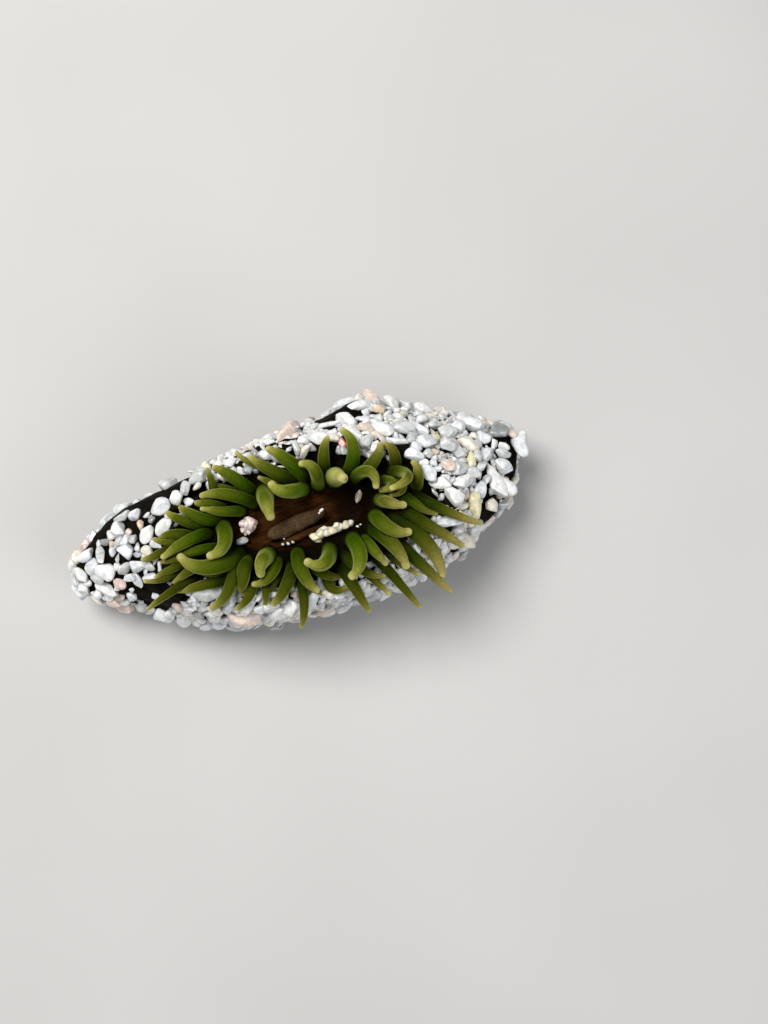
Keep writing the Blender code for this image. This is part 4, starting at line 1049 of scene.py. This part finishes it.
def cover(points):
    """How much of the body is covered with grit at each point, from 0 to 1."""
    share = smooth(points[:, 2], 2.7, 4.6)
    side = smooth(points[:, 2], 6.0, 7.5)                      # bare places are told for the upper side
    for x, y, reach, bare in BARE:
        d2 = (points[:, 0] - x) ** 2 + (points[:, 1] - y) ** 2
        share = share * (1 - side * bare * np.exp(-((d2 / (1.28 * reach) ** 2) ** 1.5)))
    patchy = noise(points, 4.2, 61)
    return share * (1 - (1 - side) * 0.55 * smooth(patchy, 0.15, 0.6))


def turned(rng, normal, upright, heading=None):
    """Three axes for a grain: its flat side near the wall, with some tilt."""
    up = normal + upright * rng.normal(size=3)
    up /= np.linalg.norm(up)
    side = rng.normal(size=3) if heading is None else np.array([math.cos(heading), math.sin(heading), 0.0])
    side = side - up * (side @ up)
    side /= np.linalg.norm(side)
    return np.stack([side, np.cross(up, side), up], 1)


def named_grains(rng, points, normals, level):
    """The grains of the table, each set down on the body, and raised where it lies on others."""
    top = np.nonzero((points[:, 2] > 6.9) | (level > 1.5))[0]
    placed = []
    for look, form, rows in GRAINS:
        for x, y, size, wide, heading in rows:
            size = 1.14 * size + 0.05
            d = np.hypot(points[top, 0] - x, points[top, 1] - y)
            k = top[d.argmin()]
            base, up = points[k].copy(), normals[k].copy()
            off = np.array([x, y]) - base[:2]
            far = np.hypot(*off)
            flat = float(smooth(normals[k, 2], 0.15, 0.6))     # on the steep edge it stays close to the wall
            base[:2] += off * min(1.0, flat * (0.05 + 0.26 * size * wide) / max(far, 1e-6))
            up[2] = max(up[2], 0.62 if form == "block" else 1.4)
            up /= np.linalg.norm(up)
            thick = size * (0.35 if form != "block" else min(wide, 0.8) * 0.9)
            base = base + up * (0.10 + 0.20 * flat) * thick + up * 0.12 * flat
            placed.append([base, up, size, wide, math.radians(heading), look, form, thick])
    order = sorted(range(len(placed)), key=lambda k: placed[k][2])
    done = []
    for k in reversed(order):                                  # the big ones lie lowest
        base, size, wide = placed[k][0], placed[k][2], placed[k][3]
        r = 0.5 * size * math.sqrt(wide)
        lift = 0.0
        for other, r2 in done:
            d = np.hypot(*(base[:2] - other[:2]))
            if d < 0.82 * (r + r2) and base[2] < other[2] + 1.5:
                lift = max(lift, other[2] + 0.55 * math.sqrt(max((r + r2) ** 2 - d * d, 0.0)) * 0.62 - base[2])
        base[2] += min(max(lift, 0.0), 0.9)
        done.append((base, r))
    return placed


def fill_grains(rng, points, normals, area, level, placed):
    """Grain sizes and places that fill what the larger ones leave: big ones on the sides, small ones between."""
    taken = [(g[0], 0.5 * g[2] * math.sqrt(g[3])) for g in placed]
    middle, radius = [t[0] for t in taken], [t[1] for t in taken]
    covered = cover(points)
    weight = np.where((level > 2.8) | (covered < 0.42), 0.0, area * covered)
    chance = np.cumsum(weight) / weight.sum()
    sparse = smooth(points[:, 0], -14.0, -19.0) * smooth(points[:, 2], 6.0, 8.0)
    out = []
    for low, high, tries, tight in ((2.2, 3.0, 700, 0.86), (1.6, 2.2, 2600, 0.86), (1.1, 1.6, 5200, 0.86), (0.7, 1.1, 6500, 0.88),
                                    (0.45, 0.7, 5000, 0.9)):
        pick = np.searchsorted(chance, rng.uniform(0, 1, tries))
        sizes, luck = rng.uniform(low, high, tries), rng.uniform(0, 1, tries)
        for k, size, roll in zip(pick, sizes, luck):
            upper = points[k, 2] > 8.0
            if upper and (size > 1.7 or roll < (0.15 if size > 0.95 else 0.85) + 0.6 * sparse[k]):
                continue
            up = normals[k]
            p = points[k] + up * (0.20 * size + 0.05)
            if p[2] - 0.5 * size < 1.5:
                continue
            r = 0.5 * size * 0.88
            d2 = ((np.asarray(middle) - p) ** 2).sum(1)
            if (d2 < ((tight - 0.08 * upper) * (np.asarray(radius) + r)) ** 2).any():
                continue
            middle.append(p)
            radius.append(r)
            out.append((p, up, size))
    # a lower bed on the upper side, which shows between the others
    bed = np.where((points[:, 2] > 7.0) & (points[:, 0] > -15.0) & (covered > 0.6), weight, 0.0)
    pick = np.searchsorted(np.cumsum(bed) / bed.sum(), rng.uniform(0, 1, 4200))
    sizes = rng.uniform(0.85, 1.45, len(pick))
    beds, wide = [np.zeros(3)], [0.0]
    for k, size in zip(pick, sizes):
        p = points[k] + normals[k] * 0.10 * size
        r = 0.5 * size * 0.88
        if (((np.asarray(beds) - p) ** 2).sum(1) < (0.86 * (np.asarray(wide) + r)) ** 2).any():
            continue
        if (((np.asarray(middle) - p) ** 2).sum(1) < (0.55 * (np.asarray(radius) + r)) ** 2).any():
            continue
        beds.append(p)
        wide.append(r)
        out.append((p, normals[k], size))
    return out


def add_grains():
    rng = np.random.default_rng(77)
    points, normals, area, level = ground()
    placed = named_grains(rng, points, normals, level)
    looks, odds = [c[0] for c in COMMON], np.array([c[1] for c in COMMON])
    sets = {}

    def make(look, form, size, wide, axes, place, least):
        fine = 5 if size > 2.9 else 4 if size > 1.7 else 3 if size > least else 2
        shape, faces, way = grain_form(rng, form, fine, wide)
        world = (shape * (0.5 * size)) @ axes.T + place
        colour, change, kind = LOOKS[look]
        bright = 1 + change * rng.uniform(-1, 1)
        tint = np.clip(np.array(srgb(*colour)[:3]) * bright, 0, 1)
        sets.setdefault(kind, []).append((world, faces, way, tint, rng.uniform()))

    for place, up, size, wide, heading, look, form, _ in placed:
        make(look, form, size, wide, turned(rng, up, 0.12, heading), place, 0.9)
    for look, x, y, z, size, wide, heading in LOOSE:
        size = 1.2 * size if look in ("yellow", "butter") else size
        axes = turned(rng, np.array([0, 0, 1.0]), 0.15, math.radians(heading))
        make(look, "block", size, wide, axes, np.array([x, y, z]), 0.5)
    extra = fill_grains(rng, points, normals, area, level, placed)
    for place, up, size in extra:
        look = rng.choice(looks, p=odds / odds.sum())
        form = rng.choice(["block", "block", "block", "plate", "shard"]) if size > 1.1 else "block"
        wide = rng.uniform(0.62, 0.95) if form == "block" else rng.uniform(0.45, 0.7)
        make(look, form, size * (1.0 if form == "block" else 1.12), wide, turned(rng, up, 0.25), place, 0.85)
    print("grains:", len(placed), "named,", len(extra), "others")
    pieces = []
    for kind, grains in sets.items():
        grains.sort(key=lambda g: math.atan2(g[0][0, 1] / 11, g[0][0, 0] / 27))
        count = sum(len(g[1]) for g in grains)
        parts = int(math.ceil(count / 150000))
        bounds = np.cumsum([len(g[1]) for g in grains]) / count * parts
        for n in range(parts):
            share = [g for g, b in zip(grains, bounds) if n < b <= n + 1 or (n == parts - 1 and b > n + 1)]
            pieces.append((grit_piece(f"grit_{kind}_{n + 1}", share), kind))
    return pieces


def grit_piece(name, grains):
    """One mesh of many grains. Each grain has its own two round patches on the map."""
    cols = int(math.ceil(math.sqrt(len(grains) * 2)))
    cell = 1.0 / cols
    points, faces, uvs, tint, tone = [], [], [], [], []
    start = 0
    for k, (world, tris, way, colour, t) in enumerate(grains):
        corner = way[tris]
        upper = corner[..., 2].mean(1) > 0
        z = np.where(upper[:, None], corner[..., 2], -corner[..., 2])
        flat = corner[..., :2] / (1 + np.maximum(z, -0.35))[..., None]
        slot = np.where(upper, 2 * k, 2 * k + 1)
        origin = np.stack([(slot % cols + 0.5) * cell, (slot // cols + 0.5) * cell], -1)
        uv = origin[:, None] + flat * 0.40 * cell
        uvs.append(np.concatenate([uv, np.zeros((len(tris), 1, 2))], 1))
        points.append(world)
        faces.append(np.concatenate([tris + start, np.full((len(tris), 1), -1)], 1))
        tint.append(np.broadcast_to(colour, (len(world), 3)))
        tone.append(np.full(len(world), t))
        start += len(world)
    mesh = mesh_from(name, np.concatenate(points), np.concatenate(faces),
                     {"tint": np.concatenate(tint), "tone": np.concatenate(tone)}, np.concatenate(uvs))
    print(name, len(grains), "grains", len(mesh.polygons), "triangles")
    return new_object(name, mesh)


# ---------------------------------------------------------------- materials
def srgb(r, g, b):
    return tuple((c / 255 / 12.92) if c / 255 <= 0.04045 else ((c / 255 + 0.055) / 1.055) ** 2.4 for c in (r, g, b)) + (1.0,)


class Tree:
    """A material's node tree, with short ways to add to it."""

    def __init__(self, name):
        self.material = bpy.data.materials.new(name)
        self.material.use_nodes = True
        self.tree = self.material.node_tree
        self.shader = self.tree.nodes["Principled BSDF"]
        self.coords = self.tree.nodes.new("ShaderNodeTexCoord").outputs["Object"]

    def put(self, value, socket):
        if isinstance(value, bpy.types.NodeSocket):
            self.tree.links.new(value, socket)
        elif value is not None:
            socket.default_value = value

    def node(self, kind, inputs=None, **settings):
        made = self.tree.nodes.new(kind)
        for key, value in settings.items():
            setattr(made, key, value)
        for key, value in (inputs or {}).items():
            self.put(value, made.inputs[key])
        return made

    def attribute(self, name):
        return self.node("ShaderNodeAttribute", attribute_name=name).outputs["Fac"]

    def scaled(self, x, y, z):
        return self.node("ShaderNodeMapping", {"Vector": self.coords, "Scale": (x, y, z)}).outputs["Vector"]

    def noise(self, size_mm, detail=3.0, rough=0.55, where=None):
        return self.node("ShaderNodeTexNoise", {"Vector": where or self.coords, "Scale": 1000.0 / size_mm,
                                                "Detail": detail, "Roughness": rough}).outputs["Fac"]

    def cells(self, size_mm, feature="F1", where=None):
        return self.node("ShaderNodeTexVoronoi", {"Vector": where or self.coords, "Scale": 1000.0 / size_mm},
                         feature=feature).outputs["Distance"]

    def math(self, operation, a, b=0.0, clamp=False):
        made = self.node("ShaderNodeMath", operation=operation, use_clamp=clamp)
        self.put(a, made.inputs[0])
        self.put(b, made.inputs[1])
        return made.outputs[0]

    def span(self, value, low, high, to_low=0.0, to_high=1.0):
        made = self.node("ShaderNodeMapRange", {"Value": value, "From Min": low, "From Max": high, "To Min": to_low,
                                                "To Max": to_high}, interpolation_type="SMOOTHSTEP")
        return made.outputs["Result"]

    def mix(self, share, a, b, blend="MIX"):
        made = self.node("ShaderNodeMix", data_type="RGBA", blend_type=blend)
        self.put(share, made.inputs["Factor"])
        self.put(a, [s for s in made.inputs if s.name == "A" and s.type == "RGBA"][0])
        self.put(b, [s for s in made.inputs if s.name == "B" and s.type == "RGBA"][0])
        return [s for s in made.outputs if s.type == "RGBA"][0]

    def ramp(self, value, stops):
        made = self.node("ShaderNodeValToRGB", {"Fac": value})
        stops = sorted(stops)
        elements = made.color_ramp.elements
        elements[0].position, elements[0].color = stops[0]
        elements[1].position, elements[1].color = stops[-1]
        for position, colour in stops[1:-1]:
            elements.new(position).color = colour
        return made.outputs["Color"]

    def bump(self, height, distance_mm, strength=1.0, after=None):
        made = self.node("ShaderNodeBump", {"Height": height, "Distance": distance_mm * MM, "Strength": strength})
        if after is not None:
            self.tree.links.new(after, made.inputs["Normal"])
        return made.outputs["Normal"]

    def finish(self, **inputs):
        for key, value in inputs.items():
            self.put(value, self.shader.inputs[key.replace("_", " ")])
        return self.material


def skin_material():
    m = Tree("anemone_flesh")
    arm, t, tone, pale = (m.attribute(n) for n in ("arm", "arm_t", "tone", "pale"))
    lip, disc, crown, mark, pit = (m.attribute(n) for n in ("lip", "disc", "crown", "wart", "foot"))
    mottle, fine = m.noise(1.6, 4), m.noise(0.28, 3)
    # the wall: near black with olive and brown in it, paler warts, a paler foot
    wall = m.ramp(mottle, [(0.3, srgb(7, 5, 3)), (0.5, srgb(13, 11, 7)), (0.7, srgb(25, 21, 13))])
    wall = m.mix(m.math("MULTIPLY", mark, 0.30), wall, srgb(40, 35, 24))
    wall = m.mix(m.math("MULTIPLY", pit, 0.6), wall, srgb(78, 62, 44))
    # the margin between the tentacle roots: dark flesh, painted still darker as shade between the tentacles
    inner = m.ramp(mottle, [(0.3, srgb(5, 4, 1)), (0.7, srgb(12, 10, 3))])
    base = m.mix(crown, wall, inner)
    # the disc: dark brown, with fine paler lines along its folds, partly the disc's own stripes and partly painted
    # sheen on the folds
    lines = m.noise(0.42, 4, 0.6, m.scaled(0.13, 1.0, 0.6))
    dark = m.ramp(lines, [(0.38, srgb(34, 17, 5)), (0.52, srgb(52, 28, 8)), (0.64, srgb(70, 41, 13)), (0.74, srgb(92, 60, 26))])
    # painted shade at the disc's two ends and in front of the lower lip
    dark = m.mix(m.math("MULTIPLY", m.attribute("disc_painted_shade"), 0.92), dark, srgb(9, 3, 0))
    base = m.mix(disc, base, dark)
    lips = m.ramp(m.noise(0.30, 4), [(0.3, srgb(60, 45, 30)), (0.55, srgb(80, 62, 43)), (0.8, srgb(98, 79, 57))])
    lips = m.mix(m.span(t, 0.35, 1.0, 0.0, 0.75), lips, srgb(48, 32, 18))
    base = m.mix(lip, base, lips)
    # tentacles: deep olive to near black at the root, which is painted shade where they crowd from the margin, green
    # along the length, and paler at the blunt tip
    olive = m.ramp(t, [(0.0, srgb(3, 4, 0)), (0.16, srgb(7, 10, 1)), (0.38, srgb(27, 32, 2)), (0.72, srgb(70, 71, 8)),
                       (0.92, srgb(136, 131, 60)), (1.0, srgb(180, 172, 112))])
    green = m.ramp(t, [(0.0, srgb(4, 6, 0)), (0.16, srgb(12, 25, 1)), (0.38, srgb(42, 74, 2)), (0.72, srgb(80, 100, 7)),
                       (0.92, srgb(136, 139, 58)), (1.0, srgb(180, 176, 112))])
    flesh = m.mix(tone, olive, green)
    light = m.ramp(t, [(0.3, srgb(70, 74, 20)), (0.6, srgb(118, 110, 48)), (0.85, srgb(168, 152, 92)), (1.0, srgb(190, 174, 118))])
    flesh = m.mix(m.math("MULTIPLY", pale, m.span(t, 0.30, 0.85)), flesh, light)
    flesh = m.mix(m.math("MULTIPLY", mark, 0.55), flesh, srgb(172, 166, 106))
    flesh = m.mix(m.math("MULTIPLY", pit, 0.6), flesh, srgb(92, 92, 42))
    flesh = m.mix(m.span(fine, 0.35, 0.7, 0.0, 0.25), flesh, srgb(40, 50, 6))
    flesh = m.mix(m.span(mottle, 0.4, 0.7, 0.0, 0.2), flesh, srgb(76, 70, 16))
    # painted rim light: the tentacles' flanks, where the surface stands upright, are painted paler than the back
    edge = m.math("MULTIPLY", m.attribute("rim_light_paint"), m.span(t, 0.12, 0.6, 0.15, 0.75))
    flesh = m.mix(edge, flesh, m.mix(m.span(t, 0.3, 0.9), srgb(88, 108, 24), srgb(164, 164, 96)))
    colour = m.mix(arm, base, flesh)
    rough = m.span(m.noise(0.5, 3), 0.3, 0.7, 0.50, 0.66)
    rough = m.math("ADD", rough, m.math("MULTIPLY", m.math("SUBTRACT", crown, m.math("MAXIMUM", arm, disc), True), 0.25))
    bump = m.bump(m.noise(0.16, 3), 0.03, 0.6)
    bump = m.bump(m.cells(0.45), 0.02, 0.4, bump)
    material = m.finish(Base_Color=colour, Roughness=rough, Normal=bump)
    s = m.shader.inputs
    s["Subsurface Weight"].default_value = 0.30
    s["Subsurface Radius"].default_value = (0.7, 1.0, 0.25)
    s["Subsurface Scale"].default_value = 0.0008
    s["IOR"].default_value = 1.36
    s["Specular IOR Level"].default_value = 0.02
    s["Sheen Weight"].default_value = 0.01
    s["Sheen Roughness"].default_value = 0.22
    s["Sheen Tint"].default_value = (0.60, 0.64, 0.30, 1.0)
    s["Coat Weight"].default_value = 0.005
    s["Coat Roughness"].default_value = 0.2
    s["Coat IOR"].default_value = 1.33
    return material


def grit_material(kind):
    m = Tree("grit_" + kind)
    tint = m.node("ShaderNodeAttribute", attribute_name="tint").outputs["Color"]
    tone = m.attribute("tone")
    cloud, grain = m.noise(0.75, 4, 0.6), m.noise(0.2, 3)
    if kind == "clear":                                        # quartz: cloudy inside, darker where it's clear
        deep = m.mix(0.45, tint, srgb(120, 126, 128))
        # the near-white patches are partly painted reflections inside the quartz and partly its cloudiness
        bright = m.mix(0.6, tint, srgb(250, 252, 252))
        colour = m.mix(m.span(cloud, 0.32, 0.55), deep, tint)
        colour = m.mix(m.span(cloud, 0.56, 0.72), colour, bright)
        specks = m.span(m.cells(0.35), 0.0, 0.16, 0.5, 0.0)
        colour = m.mix(specks, colour, m.mix(0.5, deep, srgb(70, 72, 70)))
    else:
        # a darker, bluish copy of the grain's colour, mixed in by the cloud pattern: partly its cloudiness, partly
        # painted shade and inner reflection
        shade = m.mix(1.0, tint, srgb(222, 224, 226), "MULTIPLY")
        colour = m.mix(m.span(cloud, 0.38, 0.62), shade, tint)
        colour = m.mix(m.span(m.cells(0.9, "DISTANCE_TO_EDGE"), 0.0, 0.05, 0.16, 0.0), colour, shade)
    rough = m.span(grain, 0.3, 0.7, 0.26, 0.46) if kind == "white" else m.span(grain, 0.3, 0.7, 0.12, 0.26)
    bump = m.bump(m.noise(0.12, 3, 0.6), 0.02, 0.6)
    bump = m.bump(m.math("ADD", cloud, m.math("MULTIPLY", tone, 0.0)), 0.06, 0.4, bump)
    material = m.finish(Base_Color=colour, Roughness=rough, Normal=bump)
    s = m.shader.inputs
    s["Transmission Weight"].default_value = 0.06 if kind == "white" else 0.28
    s["Subsurface Weight"].default_value = 0.65
    s["Subsurface Radius"].default_value = (1.0, 0.98, 0.96)
    s["Subsurface Scale"].default_value = 0.0008
    s["Coat Weight"].default_value = 0.35 if kind == "white" else 0.6
    s["Coat Roughness"].default_value = 0.10
    s["IOR"].default_value = 1.5
    return material


# ---------------------------------------------------------------- stage, light and camera
def stage():
    mesh = bpy.data.meshes.new("floor")
    w = 4.0
    mesh.from_pydata([(-w, -w, 0), (w, -w, 0), (w, w, 0), (-w, w, 0)], [], [(0, 1, 2, 3)])
    floor = new_object("floor", mesh)
    m = Tree("floor_pale")
    grain = m.noise(60.0, 2)
    mesh.materials.append(m.finish(Base_Color=m.ramp(grain, [(0.3, (0.45, 0.445, 0.435, 1)), (0.7, (0.49, 0.485, 0.475, 1))]),
                                   Roughness=0.75))
    world = bpy.data.worlds.new("soft")
    bpy.context.scene.world = world
    world.use_nodes = True
    back = world.node_tree.nodes["Background"]
    back.inputs["Color"].default_value = (0.93, 0.96, 1.0, 1.0)
    back.inputs["Strength"].default_value = 0.22


def softbox(name, place, target, size, watts, colour=(1, 1, 1)):
    light = bpy.data.lights.new(name, "AREA")
    light.shape, light.size, light.energy, light.color = "DISK", size, watts, colour
    obj = bpy.data.objects.new(name, light)
    bpy.context.scene.collection.objects.link(obj)
    obj.location = place
    way = np.array(target, float) - np.array(place, float)
    from mathutils import Vector
    obj.rotation_euler = Vector(way).to_track_quat("-Z", "Y").to_euler()
    obj.visible_camera = False


def camera():
    """Nearly straight down, with the long axis rising a little to the right."""
    from mathutils import Matrix
    turn, lift, away = math.radians(17.0), math.radians(86.0), 0.1673
    right = np.array([math.cos(turn), -math.sin(turn), 0.0])
    ahead = np.array([math.sin(turn), math.cos(turn), 0.0])
    look = ahead * math.cos(lift) - np.array([0, 0, math.sin(lift)])
    up = ahead * math.sin(lift) + np.array([0, 0, math.cos(lift)])
    middle = (right * 10.97 - ahead * 0.68 + np.array([0, 0, 18.0])) * MM
    data = bpy.data.cameras.new("camera")
    data.lens, data.sensor_width, data.sensor_fit = 50.0, 36.0, "AUTO"
    data.clip_start, data.clip_end = 0.005, 20.0
    obj = bpy.data.objects.new("camera", data)
    bpy.context.scene.collection.objects.link(obj)
    place = middle - look * away
    axes = np.stack([right, up, -look], 1)
    obj.matrix_world = Matrix([[*axes[i], place[i]] for i in range(3)] + [[0, 0, 0, 1]])
    bpy.context.scene.camera = obj


def main():
    skin = make_skin()
    skin.data.materials.clear()
    skin.data.materials.append(skin_material())
    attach(skin, "root")
    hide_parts(*FLESH_NODES)
    print("skin", len(skin.data.polygons), round(time.time() - START, 1))
    materials = {}
    for k, (obj, kind) in enumerate(add_grains()):
        if kind not in materials:
            materials[kind] = grit_material(kind)
        obj.data.materials.append(materials[kind])
        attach(obj, "root")
        if k == 0:
            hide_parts(*GRIT_NODES)
    stage()
    softbox("key", (-0.11, 0.16, 0.40), (0, 0, 0.01), 0.24, 2.5, (1.0, 0.99, 0.97))
    softbox("fill", (0.22, -0.26, 0.26), (0, 0, 0.01), 0.30, 0.75, (0.98, 0.98, 1.0))
    camera()
    bpy.context.scene.view_settings.view_transform = "Standard"
    print("done", round(time.time() - START, 1))


main()
import json
